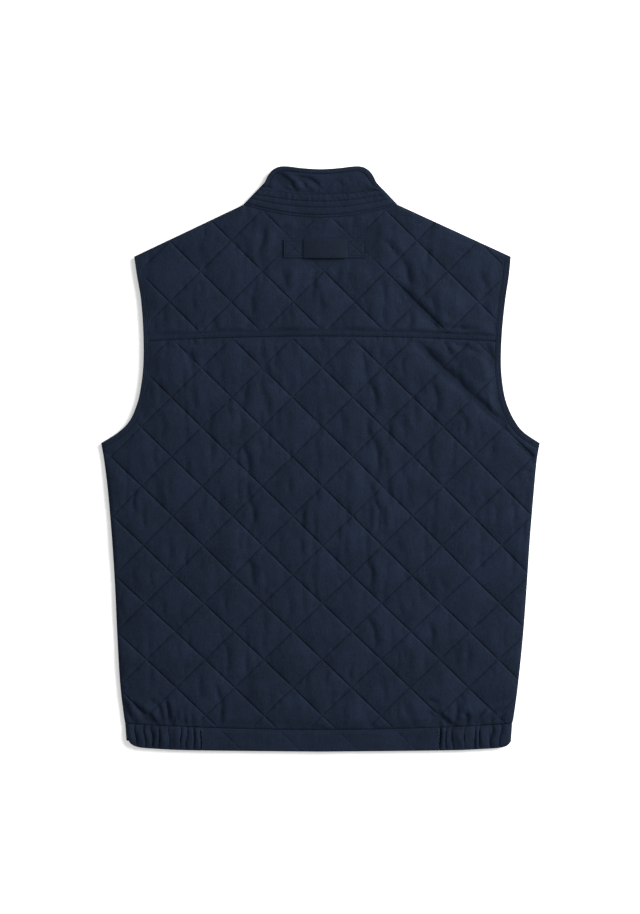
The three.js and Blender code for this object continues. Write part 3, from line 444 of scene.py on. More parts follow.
def slab(name, quilt, steps, outline):
    """A slab from z 1 to -1 metre whose top follows the quilting, cut to an outline in millimetres."""
    low, high = lattice_range(quilt, outline)
    across, down = ((high - low) * steps).astype(int)
    deselect()
    bpy.ops.mesh.primitive_grid_add(x_subdivisions=across, y_subdivisions=down, size=2, location=(0, 0, 1))
    cloth = bpy.context.object
    cloth.name = name
    bpy.ops.object.transform_apply()
    at = points_of(cloth)
    row = np.rint((at[:, :2] + 1) / 2 * [across, down]).astype(int)
    share = low + row // steps + diamond_rows(steps)[row % steps]
    at[:, :2] = quilt_place(quilt, share[:, 0], share[:, 1]) * MM
    move_points(cloth, at)
    edit(cloth)
    select_rim()
    bpy.ops.mesh.extrude_region_move(TRANSFORM_OT_translate={"value": (0, 0, -2)})
    bpy.ops.mesh.edge_face_add()
    turn_out()
    deselect()
    bpy.ops.mesh.primitive_circle_add(vertices=len(outline), radius=1, fill_type="NGON", location=(0, 0, 0))
    cutter = bpy.context.object
    move_points(cutter, np.column_stack([outline * MM, np.full(len(outline), -3)]))
    edit(cutter)
    bpy.ops.mesh.extrude_region_move(TRANSFORM_OT_translate={"value": (0, 0, 6)})
    turn_out()
    deselect()
    scissors = cloth.modifiers.new("scissors", "BOOLEAN")
    scissors.operation, scissors.solver, scissors.object = "INTERSECT", "MANIFOLD", cutter
    apply(cloth, "scissors")
    bpy.data.objects.remove(cutter)
    print(name, "cut out with", len(cloth.data.polygons), "faces")
    return cloth


def finish_cloth(cloth, angle=40):
    """Closes small gaps, turns the faces out and smooths the shading."""
    edit(cloth)
    bpy.ops.mesh.remove_doubles(threshold=0.00002)
    bpy.ops.mesh.dissolve_degenerate(threshold=0.00001)
    bpy.ops.mesh.normals_make_consistent(inside=False)
    bpy.ops.object.mode_set(mode="OBJECT")
    bpy.ops.object.shade_smooth_by_angle(angle=math.radians(angle))


def inward_from(points, folds):
    """Direction from the nearest fold into the cloth, square to the fold."""
    middle = np.array([0.0, 0.0])
    best, direction = np.full(len(points), 1e9), np.zeros((len(points), 2))
    for line in folds:
        for a, b in zip(line, line[1:]):
            along = b - a
            t = np.clip((points - a) @ along / (along @ along), 0, 1)
            distance = np.linalg.norm(points - a - t[:, None] * along, axis=1)
            normal = unit(np.array([-along[1], along[0]]))
            if normal @ (middle - a) < 0:
                normal = -normal
            near = distance < best
            best[near], direction[near] = distance[near], normal
    return best, direction


# %% [markdown]
# ## Creases
# The real vest has been folded and handled. The creases that show in the picture are listed one by one:
# each is a path with a width and a depth, a soft trough with a low ridge beside it. Small uneven ones
# are added in every diamond, and beside the two deepest creases whole diamonds tip towards the trough.

# %% Creases of the back
CREASE_DEPTH = 2.2  # a factor on all the depths below
BACK_CREASES = [  # width, depth, points of the path in millimetres, from above
    (4.0, 2.2, [(100, 215), (116.6, 196.6), (135.5, 177.7), (151.8, 161.3)]),
    (2.5, 1.2, [(151.8, 166), (176, 164.5), (201, 163)]),
    (4.5, 2.1, [(117.8, 148.7), (153, 113.4), (189.6, 78.1), (209.8, 59.2), (231.2, 41.6)]),
    (2.5, 1.3, [(198.5, 74.3), (219.9, 54.2), (231.2, 49.1)]),
    (2.5, 1.3, [(153, 148.7), (159.4, 139.9), (165.7, 131)]),
    (2.2, 1.2, [(165.7, 146.2), (178.3, 141.1)]),
    (2.5, 1.4, [(177, 143.6), (188.4, 138.6), (201, 132.3)]),
    (2.5, 0.9, [(206, 147.4), (218.6, 126)]),
    (2.5, 0.8, [(125.4, 143.6), (131, 134.8)]),
    (3.0, 1.5, [(245, 20.2), (260.2, 7.6), (270.3, -7.6)]),
    (2.0, 0.9, [(257.7, -16.4), (270, -15)]),
    (3.0, 0.9, [(-262.7, 8.8), (-268, -1)]),
]
YOKE_CREASES = [
    (4.0, 1.1, [(-68.7, 291.1), (-75, 269.6), (-78.8, 253.3)]),
    (4.0, 1.2, [(-82.5, 223), (-86.3, 200.3), (-86.3, 177.7)]),
    (3.8, 1.0, [(-48.5, 250.7), (-46, 231.8), (-41, 212.9)]),
    (4.0, 0.9, [(-8.2, 228.1), (-10.7, 200.3)]),
    (3.5, 0.8, [(-37.2, 200.3), (-37.2, 172.6)]),
    (3.2, 0.7, [(-48.5, 190.3), (-48.5, 167.6)]),
    (3.5, 1.3, [(80, 277.2), (88.8, 265.9), (97.7, 255.8)]),
    (3.5, 1.5, [(104, 250.7), (110.3, 234.4), (112.8, 216.7)]),
    (4.0, 0.8, [(122.9, 241.9), (134.2, 221.8)]),
    (3.0, 1.3, [(112.8, 186.5), (114, 172.6), (111.5, 162.5)]),
    (3.8, 0.9, [(75, 228.1), (80, 212.9), (80, 196.6)]),
    (3.5, 0.8, [(95.1, 215.5), (102.7, 194)]),
    (3.5, 0.9, [(24.6, 250.7), (24.6, 228.1)]),
    (3.5, 0.6, [(37.2, 243.2), (34.7, 223)]),
    (4.0, 0.9, [(138, 204), (145.5, 181.4)]),
    (4.5, 0.7, [(201, 231.8), (216, 200)]),
    (3.5, 0.6, [(-196, 187), (-202, 166)]),
    (3.5, 0.6, [(-177, 176), (-180, 164)]),
]
HANGING_CREASES = [  # two upright rows of short ones, where the vest has been folded
    (3.5, 1.1, [(-91.4, 95.8), (-96.4, 80.6), (-97.7, 64.3)]),
    (3.5, 0.8, [(-101, 62), (-100, 45), (-100, 26)]),
    (3.5, 1.4, [(-97.7, 17.6), (-92.6, 5), (-91.4, -11.3), (-88.8, -23.9)]),
    (3.5, 0.8, [(-92.6, -29), (-92.6, -49)]),
    (3.4, 1.5, [(-91.4, -51.7), (-85, -61.7), (-85, -76.9), (-88.8, -89.5)]),
    (3.5, 0.7, [(-93.9, -95.8), (-92.6, -117.2)]),
    (3.5, 1.4, [(-92.6, -127.3), (-86.3, -139.9), (-86.3, -158.8)]),
    (4.0, 0.8, [(-72.5, -190.3), (-71.2, -218)]),
    (3.8, 1.2, [(-120.3, -234.4), (-116.6, -249.5), (-117.8, -272.2)]),
    (3.5, 0.9, [(-57.3, 139), (-57.3, 112)]),
    (3.5, 0.7, [(-97, 131), (-99, 112)]),
    (3.5, 0.6, [(-165, 135), (-162, 118)]),
    (3.5, 1.2, [(52.3, 139.9), (54.8, 118.4), (59.9, 102.1)]),
    (3.5, 1.6, [(59.9, 99.5), (67.4, 84.4), (68.7, 68), (67.4, 58)]),
    (3.2, 1.0, [(59.9, 52.9), (58.6, 36.5), (62.4, 26.5)]),
    (3.5, 1.7, [(63.6, 26.5), (71.2, 11.3), (72.5, -7.6), (68.7, -23.9)]),
    (3.2, 0.8, [(62.4, -29), (63.6, -44.1)]),
    (3.5, 1.5, [(66.2, -47.9), (72.5, -61.7), (73.7, -79.4), (71.2, -92)]),
    (3.5, 1.4, [(57.3, -127.3), (63.6, -139.9), (63.6, -156.2), (59.9, -162.5)]),
    (3.5, 1.3, [(61.1, -201.6), (67.4, -215.5), (68.7, -238.1)]),
    (4.0, 0.8, [(75, -278.5), (80, -293.6)]),
    (3.5, 1.2, [(140.5, 97), (146.8, 80.6), (148, 59.2)]),
    (4.0, 0.9, [(105.2, 59.2), (106.5, 27.7)]),
    (3.5, 0.8, [(25.8, 58), (28.4, 36.5)]),
    (3.5, 1.1, [(179.6, 55.4), (183.3, 40.3), (182, 29)]),
    (4.0, 0.8, [(109, -20.2), (110.3, -41.6)]),
    (3.8, 0.7, [(30.9, -13.9), (33.4, -41.6)]),
    (3.8, 0.8, [(97.7, -102.1), (98.9, -118.4)]),
    (3.8, 0.8, [(98.9, -177.7), (101.4, -196.6)]),
    (3.8, 0.8, [(105.2, -238.1), (106.5, -255.8)]),
    (3.8, 0.7, [(136.7, -205.4), (140.5, -228.1)]),
    (3.8, 0.8, [(105.2, -303.7), (109, -323.8)]),
]
HEM_CREASES = [  # where the elastic draws the cloth in
    (2.6, 1.9, [(-250, -303.7), (-242.6, -317.5), (-235, -332.6)]),
    (2.6, 1.7, [(-235, -308.7), (-223.7, -321.3), (-212, -333)]),
    (2.2, 2.0, [(-218.6, -318.8), (-213.6, -326.3), (-207.3, -335.2)]),
    (2.2, 2.1, [(-194.7, -303.7), (-192.2, -316.3), (-189.6, -333.9)]),
    (2.0, 1.5, [(-182, -318), (-184, -327), (-187, -336)]),
    (2.0, 1.3, [(-203, -312), (-200, -323), (-199, -335)]),
    (2.2, 1.1, [(-160.7, -318.8), (-163, -328.9), (-165.7, -337.7)]),
    (2.0, 0.9, [(-173.3, -326.3), (-174.5, -336.4)]),
    (2.0, 0.8, [(-154.4, -318.8), (-159.4, -333.9)]),
    (3.0, 0.7, [(-214.8, -303.7), (-202.2, -313.7)]),
    (3.2, 0.9, [(-151.8, -272.2), (-150.6, -299.9)]),
    (3.2, 1.1, [(-133, -281), (-127.9, -297.4), (-124.1, -312.5), (-125.4, -331.4)]),
    (2.4, 1.9, [(138, -321.3), (143, -326.3), (150.6, -336.4)]),
    (2.2, 1.9, [(148, -321.3), (159.4, -331.4), (167, -337.7)]),
    (2.2, 1.0, [(135.5, -303.7), (146.8, -306.2)]),
    (2.2, 1.3, [(170.7, -303.7), (172, -316.3), (170.7, -331.4)]),
    (2.4, 1.5, [(179.6, -321.3), (185.9, -326.3), (183.3, -336.4)]),
    (2.4, 1.9, [(211, -311.2), (201, -322.6), (192.2, -335.2)]),
    (2.2, 1.7, [(226.2, -313.7), (209.8, -326.3), (198.5, -336.4)]),
    (3.0, 1.0, [(236, -297), (225, -305.5), (213.6, -311.2)]),
    (2.4, 1.2, [(238, -314), (230, -321), (224, -331.4)]),
]


def small_creases(quilt, low, high):
    """A few short upright creases in each diamond, all uneven."""
    made = []
    for p in range(*low):
        for q in range(*high):
            for k in range(3):
                drawn = [lattice_value(p * 3.1 + k, q * 1.7, seed) for seed in (91, 92, 93, 94)]
                across, up, size, bend = drawn
                x, y = quilt_place(quilt, p + 0.5 + 0.26 * (across + up), q + 0.5 + 0.26 * (across - up))
                half, width, depth = 10 + 5 * size, 2.6 + 0.8 * bend, 0.4 + 0.32 * size
                made.append((width, depth, [(x, y + half), (x + 2.5 * bend, y), (x, y - half)]))
    return made


BY_HAND = BACK_CREASES + YOKE_CREASES + HANGING_CREASES + HEM_CREASES
SMALL = small_creases(QUILT_BODY, (-3, 12), (-12, 3)) + small_creases(QUILT_YOKE, (-4, 5), (-5, 4))
CREASES = BY_HAND + SMALL


def creases(points, paths):
    """Sum of the creases at each point: troughs, steeper on one side, with a low ridge beside them."""
    total = np.zeros(len(points))
    for width, depth, path in paths:
        line = np.array(path, float)
        middle, reach = line.mean(0), np.ptp(line, axis=0).max() / 2 + 6 * width
        near = np.abs(points - middle).max(1) < reach + 10
        if not near.any():
            continue
        wander = noise(points[near, 0] / 11, points[near, 1] / 11, 5) * 0.4 * width
        distance, side, share = to_line(points[near], smooth_curve(line, 8))
        ends = np.sin(np.pi * np.clip(share, 0.02, 0.98)) ** 0.4
        signed = distance * side + wander
        trough = np.exp(-np.abs(signed) / np.where(signed < 0, 1.4 * width, 0.9 * width))
        ridge = 0.25 * np.exp(-(((signed - 2.6 * width) / (1.5 * width)) ** 2))
        total[near] += CREASE_DEPTH * depth * ends * (ridge - trough)
    return total


TIPPED = [  # rise, reach and path of the low edge of diamonds that tip towards a deep crease
    (4.2, 44.0, [(117.8, 148.7), (153, 113.4), (189.6, 78.1), (214, 55)]),
    (3.4, 40.0, [(96, 219), (116.6, 198.6), (135.5, 178.7), (153.8, 161.3)]),
]


def tipped(points):
    """How far those diamonds rise, more the farther they are from the crease."""
    total = np.zeros(len(points))
    for rise, reach, path in TIPPED:
        distance, side, share = to_line(points, np.array(path, float))
        far = distance / reach
        ends = smoothstep(share, 0, 0.2) * (1 - smoothstep(share, 0.8, 1))
        total += rise * far * (1 - smoothstep(far, 0.75, 1.25)) * ends * (side > 0)
    return total


def puckers(quilt, points):
    """Short gathers square to the stitching, which pulls the cloth a little tighter than the wadding."""
    p, q = quilt_numbers(quilt, points[:, 0], points[:, 1])
    total = np.zeros(len(points))
    for number, other, seed in ((p, q, 1), (q, p, 2)):
        line = np.round(number)
        distance = np.abs(number - line) * DIAMOND_SIDE
        gathers = noise(other * DIAMOND_SIDE / 5.2, line * 7.3 + distance / 30, seed)
        total += np.exp(-distance / 6.5) * gathers
    return total


def wrinkles(points):
    """Slow waves of the wadding, and soft upright wrinkles, which the cloth has from hanging."""
    x, y = points.T
    slow = 0.35 * noise(x / 46, y / 52, 11) + 0.25 * noise(x / 21, y / 25, 12)
    upright = noise((x + 6 * noise(x / 60, y / 35, 13)) / 9, y / 34, 14)
    sharp = 1 - np.abs(noise((x + 9 * noise(x / 55, y / 30, 17)) / 15, y / 42, 18)) ** 0.6
    patches = smoothstep(noise(x / 60, y / 55, 15), -0.6, 0.5)
    return slow + patches * (0.55 * upright + 0.5 * sharp) + 0.06 * noise(x / 3.4, y / 4.2, 16)


print("creases placed by hand:", len(BY_HAND), "and small ones in the diamonds:", len(SMALL))

# %% [markdown]
# ## Outlines of the back
# The yoke and the body meet at a seam across the shoulder blades. Each stays back by half of the
# seam's gap, which reads as the dark line of a real seam.

# %% Back outlines
VALLEYS = {  # the gathers' valleys at the hem, by their distance from the centre line
    -1: [BAND_END, 161.9, 169.5, 177.0, 192.2, 206.0, 213.6, 221.1, 233.7, 246.3],
    1: [BAND_END, 159.4, 167.0, 183.3, 194.7, 201.0, 214.8, 226.2, 241.8],
}
PAST_SEAM = 0.0005  # share of an armhole by which the yoke and the body stay clear of their seam


def arm_edge(side, front, start, end, count=60):
    return armhole_points(side, front, np.linspace(start, end, count), BINDING + HALF_GAP)


def side_edge(side, start, hem_y):
    line = at_share(sides[side], np.linspace(0, 1, 60))
    line = line[(line[:, 1] < start[1] - 3) & (line[:, 1] > hem_y + 3)]
    return np.vstack([start, line, [sides[side][-1][0], hem_y]])


def seam_edge(seam, start_x, end_x, shift, count=90):
    x = np.linspace(start_x, end_x, count)
    return np.stack([x, seam_y(seam, x) + shift], 1)


def neck_edge(side, front):
    return collar_points(side, front, "neck", np.linspace(0, 1, 40), -HALF_GAP)


def yoke_edges():
    left = arm_edge(-1, False, 0, yoke_share(-1) - PAST_SEAM)
    right = arm_edge(1, False, yoke_share(1) - PAST_SEAM, 0)
    bottom = seam_edge(YOKE_SEAM, left[-1][0], right[0][0], HALF_GAP)
    neck = np.vstack([neck_edge(1, False)[::-1], neck_edge(-1, False)[1:]])
    loop = np.vstack([bottom[1:-1], right, neck, left])
    return loop, [np.array([right[-1], neck[0]]), np.array([neck[-1], left[0]])]


def body_edges():
    hem_y = {side: seam_y(HEM_SEAM, sides[side][-1][0]) + HALF_GAP for side in NAMES}
    down = {side: side_edge(side, arm_edge(side, False, 1, 1, 1)[0], hem_y[side]) for side in NAMES}
    left = arm_edge(-1, False, yoke_share(-1) + PAST_SEAM, 1)
    right = arm_edge(1, False, 1, yoke_share(1) + PAST_SEAM)
    top = seam_edge(YOKE_SEAM, right[-1][0], left[0][0], -HALF_GAP)
    bottom = seam_edge(HEM_SEAM, sides[-1][-1][0], sides[1][-1][0], HALF_GAP)
    loop = np.vstack([bottom[:-1], down[1][:0:-1], right[:-1], top[:-1], left[:-1], down[-1][:-1]])
    return loop, [down[-1], down[1]]


def loop_area(loop):
    following = np.roll(loop, -1, 0)
    return abs(float((loop[:, 0] * following[:, 1] - loop[:, 1] * following[:, 0]).sum() / 2))


body_cut, yoke_cut = body_edges(), yoke_edges()
print("back body", round(loop_area(body_cut[0]) / 100), "cm2")
print("yoke", round(loop_area(yoke_cut[0]) / 100), "cm2")

# %% [markdown]
# ## The back
# Each diamond is a small cushion that rises steeply from its stitching and has a flat middle. The puff
# dies out at the seams. Over the elastic at the hem the cloth is drawn into folds that fade upwards,
# and two rows of topstitching hold the yoke seam flat. Just above them the cushions rise in a step.

# %% Heights of the back
TOPSTITCH = (3.6, 7.4)  # the rows' distances above the yoke seam
SEAM_DROP = 1.3  # how far an edge turns down into its seam
PUFF_RUNOUT = 15  # distance from a seam at which the puff is full
ELASTIC_START = (138, 152)  # reach over which the folds above the elastic begin
LOWEST_DIP, HIGHEST = -1.3, 5.0  # limits of the outer face, from its height along the stitching
ON_SEAM = 0.5  # a point this near a seam's line belongs to its wall
HANGER = {"x": 5.4, "y": 265.1, "long": 102.8, "wide": 23.2, "thick": 1.2, "bow": 1.8, "sewn": 24}


def under_hanger(points):
    away_x = np.abs(points[:, 0] - HANGER["x"]) - HANGER["long"] / 2
    away_y = np.abs(points[:, 1] - HANGER["y"]) - HANGER["wide"] / 2
    return 1 - smoothstep(np.maximum(away_x, away_y), 8, 22)


def gather_folds(points):
    """Folds above the elastic, which fade upwards and towards the middle."""
    total = np.zeros(len(points))
    for side in NAMES:
        reach = points[:, 0] * side
        height = points[:, 1] - seam_y(HEM_SEAM, points[:, 0])
        wander = 3.5 * noise(reach / 25, height / 18, 21) * np.clip(height / 20, 0, 1)
        valleys = np.array(VALLEYS[side])
        phase = np.interp(reach + wander, valleys, np.arange(len(valleys)))
        elastic = smoothstep(reach, *ELASTIC_START) * (1 - smoothstep(reach, valleys[-1] - 8, valleys[-1]))
        fade = np.exp(-np.maximum(height, 0) / (9 + 11 * np.abs(noise(phase * 1.7, 0 * phase, 22))))
        total += (2 * np.abs(np.sin(np.pi * phase)) ** 0.6 - 1.2) * elastic * fade
    return total


def notch(quilt, points):
    """How far the stitching itself is pulled into the cloth."""
    p, q = quilt_numbers(quilt, points[:, 0], points[:, 1])
    off_line = np.minimum(np.abs(p - np.round(p)), np.abs(q - np.round(q))) * DIAMOND_SIDE
    return 0.65 * np.exp(-((off_line / 1.0) ** 2))


def back_surface(points, quilt, outline, folds):
    """Heights of a back panel's outer face, in millimetres."""
    fold = inward_from(points, folds)[0]
    seam = from_rim(points, outline)
    # Near a fold the rim is no seam, so the puff may run up to it
    seam = np.where(seam >= fold - 0.5, np.maximum(seam, 10), seam)
    pressed = 1 - 0.8 * under_hanger(points)
    flat = PUFF * pillow(quilt, points[:, 0], points[:, 1]) * smoothstep(seam, 0, PUFF_RUNOUT) * pressed
    flat += 0.42 * puckers(quilt, points) * smoothstep(seam, 0, 6) * pressed
    slack = wrinkles(points) * smoothstep(seam, 0, 7)
    flat += (slack + creases(points, CREASES) * smoothstep(seam, 0, 2.5)) * pressed
    flat += tipped(points) * smoothstep(seam, 0, 14) + 1.5 * gather_folds(points) * smoothstep(seam, -4, 8)
    above = points[:, 1] - seam_y(YOKE_SEAM, points[:, 0])
    flat -= notch(quilt, points) * smoothstep(seam, 0, 4) * (1 - 0.6 * under_hanger(points))
    to_seam = np.minimum(np.abs(above), np.abs(points[:, 1] - seam_y(HEM_SEAM, points[:, 0])))
    flat *= smoothstep(above, TOPSTITCH[1], TOPSTITCH[1] + 6) * (above > 0) + (above <= 0)
    flat -= SEAM_DROP * np.maximum(np.exp(-((to_seam / 0.9) ** 2)), 0.15 * np.exp(-((seam / 1.2) ** 2)))
    flat -= sum(0.3 * np.exp(-(((above - row) / 0.8) ** 2)) for row in TOPSTITCH)
    step = smoothstep(above, TOPSTITCH[1], TOPSTITCH[1] + 1.8)
    step = step * np.exp(-np.maximum(above - TOPSTITCH[1], 0) / 14)
    flat += (0.9 + 0.9 * smoothstep(points[:, 0], 70, 150)) * step
    fade = np.exp(-np.abs(above) / 8) * (0.55 + 0.45 * noise(points[:, 0] / 37, 0 * above, 33))
    tuck = noise(points[:, 0] / 3.9 + above / 30, above / 14, 31) * fade
    flat += (np.where(above < 0, 1.6, 0.5) * tuck + 0.25 * smoothstep(above, 0.5, 2)) * (above < 12)
    flat = BACK_INNER + STITCH_WALL + np.clip(flat, LOWEST_DIP, HIGHEST)
    return mix(MID + HALF_GAP, flat, roll(fold))


def seam_lean(points):
    """How far the walls of the back's seams lean outwards, so that nobody sees the floor through them."""
    total = np.zeros((len(points), 2))
    for side in NAMES:
        u = np.linspace(0, 1, 300)
        line = armhole_points(side, False, u, BINDING + HALF_GAP)
        away, _, share = to_line(points, line)
        run = lengths(line) / lengths(line)[-1]
        total -= (away < ON_SEAM)[:, None] * armhole_inward(side, np.interp(share, run, u))
        neck = neck_edge(side, False)
        total += (to_line(points, neck)[0] < ON_SEAM)[:, None] * np.array([0, 0.7])
    for seam in (YOKE_SEAM, HEM_SEAM):
        total[np.abs(points[:, 1] - seam_y(seam, points[:, 0])) < ON_SEAM] -= [0, 1]
    return total * SEAM_LEAN


def lay(name, cut, quilt, steps, surface, inner_z, lean=None):
    """A panel with the heights of its outer face, over a plain inner face that may lean at its seams."""
    outline, folds = cut
    cloth = slab(name, quilt, steps, outline)
    at = points_of(cloth)
    plan, outer = at[:, :2] / MM, at[:, 2] > 0
    fold, inward = inward_from(plan, folds)
    at[outer, 2] = surface(plan[outer], quilt, outline, folds) * MM
    shift = inward * drawn_in(fold)[:, None]
    if lean:
        shift = shift + lean(plan) * roll(fold)[:, None]
    at[~outer, :2] += shift[~outer] * MM
    at[~outer, 2] = inner_z * MM
    move_points(cloth, at)
    finish_cloth(cloth)
    return cloth


BACK_STEPS, FRONT_STEPS = 29, 20  # rows of the grid in one diamond
back_body = lay("quilted_back", body_cut, QUILT_BODY, BACK_STEPS, back_surface, BACK_INNER, seam_lean)
back_yoke = lay("quilted_yoke", yoke_cut, QUILT_YOKE, BACK_STEPS, back_surface, BACK_INNER, seam_lean)

# %% [markdown]
# ## The fronts
# They are hidden under the back and lie on the floor on their outer faces. They are quilted in the same
# diamonds, but their weight presses the cushions flat, so only the stitch lines are cut upwards.


# %% Fronts
def front_edges(side):
    hem_y = seam_y(HEM_SEAM, sides[side][-1][0]) + HALF_GAP
    neck = neck_edge(side, True)
    arm = arm_edge(side, True, 0, 1)
    down = side_edge(side, arm[-1], hem_y)
    hem = seam_edge(HEM_SEAM, down[-1][0], side * ZIP_EDGE, HALF_GAP)
    loop = np.vstack([neck, arm, down[1:], hem[1:]])
    return (loop if side < 0 else loop[::-1]), [np.array([neck[-1], arm[0]]), down]


def front_surface(points, quilt, outline, folds):
    """Heights of a front's outer face, which lies on the floor: pressed flat but for its stitching."""
    fold = inward_from(points, folds)[0]
    rim = from_rim(points, outline)
    valley = 1 - pillow(quilt, *points.T, 0.3)
    valley = np.maximum(valley, 0.7 * (1 - smoothstep(rim, 0, 5)))
    worn = 0.25 * puckers(quilt, points) - 0.2 * creases(points * [-1, 1], CREASES)
    flat = np.maximum(1.9 * valley - 0.3 + worn + 0.5 * notch(quilt, points), 0)
    return mix(MID - HALF_GAP, np.minimum(flat, 2.9), roll(fold))


front_cuts = {side: front_edges(side) for side in NAMES}
fronts = {
    side: lay("quilted_front_" + name, front_cuts[side], QUILT_FRONT, FRONT_STEPS, front_surface, FRONT_INNER)
    for side, name in NAMES.items()
}

# %% [markdown]
# ## Strips
# Bindings, collar and hem are narrow folded strips. Each is a grid that is wrapped into a flat tube:
# its columns are cross sections, placed one after another along the strip, and its first and last rows
# are merged. A ring's ends are merged as well, and other ends are closed with a face.


# %% Strip helper
laid = {}  # the cross sections of each strip, which its stitching follows


def strip(name, sections, ring=False):
    """A closed strip of cloth from cross sections, in millimetres, an array of sections by points by 3."""
    laid[name] = sections
    sections = np.concatenate([sections, sections[:, :1]], axis=1)
    if ring:
        sections = np.concatenate([sections, sections[:1]])
    count, around = sections.shape[:2]
    deselect()
    bpy.ops.mesh.primitive_grid_add(x_subdivisions=around - 1, y_subdivisions=count - 1, size=1)
    cloth = bpy.context.object
    cloth.name = name
    move_points(cloth, sections.reshape(-1, 3) * MM)
    edit(cloth)
    bpy.ops.mesh.remove_doubles(threshold=0.00001)
    if not ring:
        select_rim()
        bpy.ops.mesh.edge_face_add()
    bpy.ops.object.mode_set(mode="OBJECT")
    finish_cloth(cloth, 50)
    print(name, len(cloth.data.polygons), "faces")
    return cloth


def folded(up, distance, low, high, shares, rise, inward, lean, stand=None):
    """Cross sections of a strip next to a fold: outer points at the shares across it, and two inner ones.

    The inner points at the high and the low edge may lean across the strip, so that nobody sees
    through its seams.
    """
    plan = mix(low[:, None], high[:, None], shares[None, :, None])
    lift = stand(plan, distance[:, None]) if stand and up else np.zeros(plan.shape[:2])
    flat = BACK_INNER + rise + lift if up else rise
    outer = np.concatenate([plan, mix(MID, flat, roll(distance)[:, None])[..., None]], 2)
    inner_z = np.where(distance == 0, MID, BACK_INNER if up else FRONT_INNER)
    edges = plan[:, [-1, 0]] + (inward * drawn_in(distance)[:, None])[:, None]
    edges = edges + np.stack(lean, 1) * roll(distance)[:, None, None] * up
    inner_z = inner_z[:, None] + lift[:, [-1, 0]]
    inner = np.concatenate([edges, inner_z[..., None]], 2)
    return np.concatenate([outer, inner], 1)


def from_fold(reach, step):
    """Distances from a fold, closer together next to it."""
    close = np.array([0, 0.3, 0.8, 1.5, 2.3, 3.2, 4.2, 5.4, FOLD_REACH])
    return np.r_[close, np.linspace(FOLD_REACH, reach, max(int((reach - FOLD_REACH) / step), 2))[1:]]


# %% [markdown]
# ## Armhole bindings
# A bias-cut strip is folded over the raw edge and stitched down in two rows. It is a rounded roll at
# the edge, with a shallow valley where each row of stitching holds it.

# %% Bindings
BINDING_SHARES = np.r_[0, 0.03, 0.08, 0.16, 0.26, 0.36, 0.42, 0.48, 0.58, 0.7, 0.76, 0.81, 0.86, 0.92, 1]
BINDING_ROWS = (0.42, 0.79)  # shares of the binding's width at which it is stitched


def binding_rise(along, seed):
    s = BINDING_SHARES[None, :]
    rounded = np.sqrt(np.clip(1 - (1 - np.clip(s / 0.28, 0, 1)) ** 2, 0, 1))
    rise = 0.9 + 1.7 * rounded - 0.45 * smoothstep(s, 0.9, 1)
    rise = rise - 0.5 * np.exp(-(((s - BINDING_ROWS[1]) / 0.05) ** 2))
    rise = rise - 0.35 * np.exp(-(((s - BINDING_ROWS[0]) / 0.06) ** 2))
    puckered = noise(along[:, None] / 5.5 + 0 * s, s * 2.5, seed)
    return rise + 0.22 * puckered * np.sin(np.pi * s) + 0.15 * noise(along[:, None] / 21, s, seed + 1)


def armhole_binding(name, side):
    length = lengths(armholes[side])[-1]
    ends = heading(armholes[side], np.array([0.0, 1.0]))
    run_u = {"shoulder": ends[0], "underarm": -ends[1]}
    distances = from_fold(length / 2, 1.6)

    def part(up, fold):
        u = distances / length if fold == "shoulder" else 1 - distances / length
        low = armhole_points(side, not up, u, 0)
        high = armhole_points(side, not up, u, BINDING - HALF_GAP)
        rise = binding_rise(u * length, 41 + side)
        if not up:
            rise = np.maximum(1.0 - 0.45 * (rise - 0.9), 0) * 0.8
        lean = (-SEAM_LEAN * armhole_inward(side, u), np.zeros((len(u), 2)))
        return folded(up, distances, low, high, BINDING_SHARES, rise, run_u[fold], lean)

    back = np.concatenate([part(True, "shoulder"), part(True, "underarm")[-2::-1]])
    front = np.concatenate([part(False, "underarm")[1:], part(False, "shoulder")[-2:0:-1]])
    return strip(name, np.concatenate([back, front]), ring=True)


bindings = {side: armhole_binding("armhole_binding_" + name, side) for side, name in NAMES.items()}

# %% [markdown]
# ## The collar
# A band with rows of stitching joins the neck to the upper collar, which is quilted, and a narrow
# binding closes its top. All three run round the neck in one piece each, from the zip on one side to
# the zip on the other. The back of the collar is stiff and stands up a little in its middle.

# %% Collar strips
COLLAR_CREASES = [
    (2.4, 2.6, [(-55.5, 361), (-46, 354), (-38, 347), (-31.5, 339)]),
    (2.4, 1.9, [(-30, 356), (-13.2, 351.5), (-4.5, 346)]),
    (3.5, 1.0, [(-38, 357), (-24, 349), (-18, 341)]),
    (2.0, 1.3, [(-48.5, 345), (-44, 339), (-34, 337), (-20, 335.6), (-8, 335.5)]),
    (2.0, 1.0, [(-72.5, 346.5), (-66, 343), (-60, 339)]),
    (2.6, 0.7, [(-22, 344), (-14, 338)]),
    (2.4, 0.6, [(20, 352), (30, 343)]),
    (9.0, 1.3, [(-60, 362), (-52, 352), (-43, 340)]),
    (8.0, 0.9, [(-20, 358), (-12, 348), (-6, 340)]),
]


BAND_ROWS = (0.107, 0.43, 0.686, 0.955)  # shares of the band's height at which it is stitched


def groove(share, at, width, depth):
    return -depth * np.exp(-(((share - at) / width) ** 2))


def band_rise(s, plan, along):
    edge = 0.8 * smoothstep(s, 0, 0.05) * (1 - smoothstep(s, 0.95, 1))
    rows = sum(groove(s, at, 0.022, 0.6) for at in BAND_ROWS) + groove(s, BAND_ROWS[0], 0.022, 0.4)
    between = 0.45 * np.abs(np.sin(np.pi * np.clip((s - BAND_ROWS[0]) / 0.29, 0, 3)))
    puckered = 0.5 * noise(along / 3, s * 4.5, 51) * smoothstep(s, 0.2, 0.95)
    return STITCH_WALL + edge + rows + between + puckered + 0.2 * noise(along / 17, s * 3, 52)


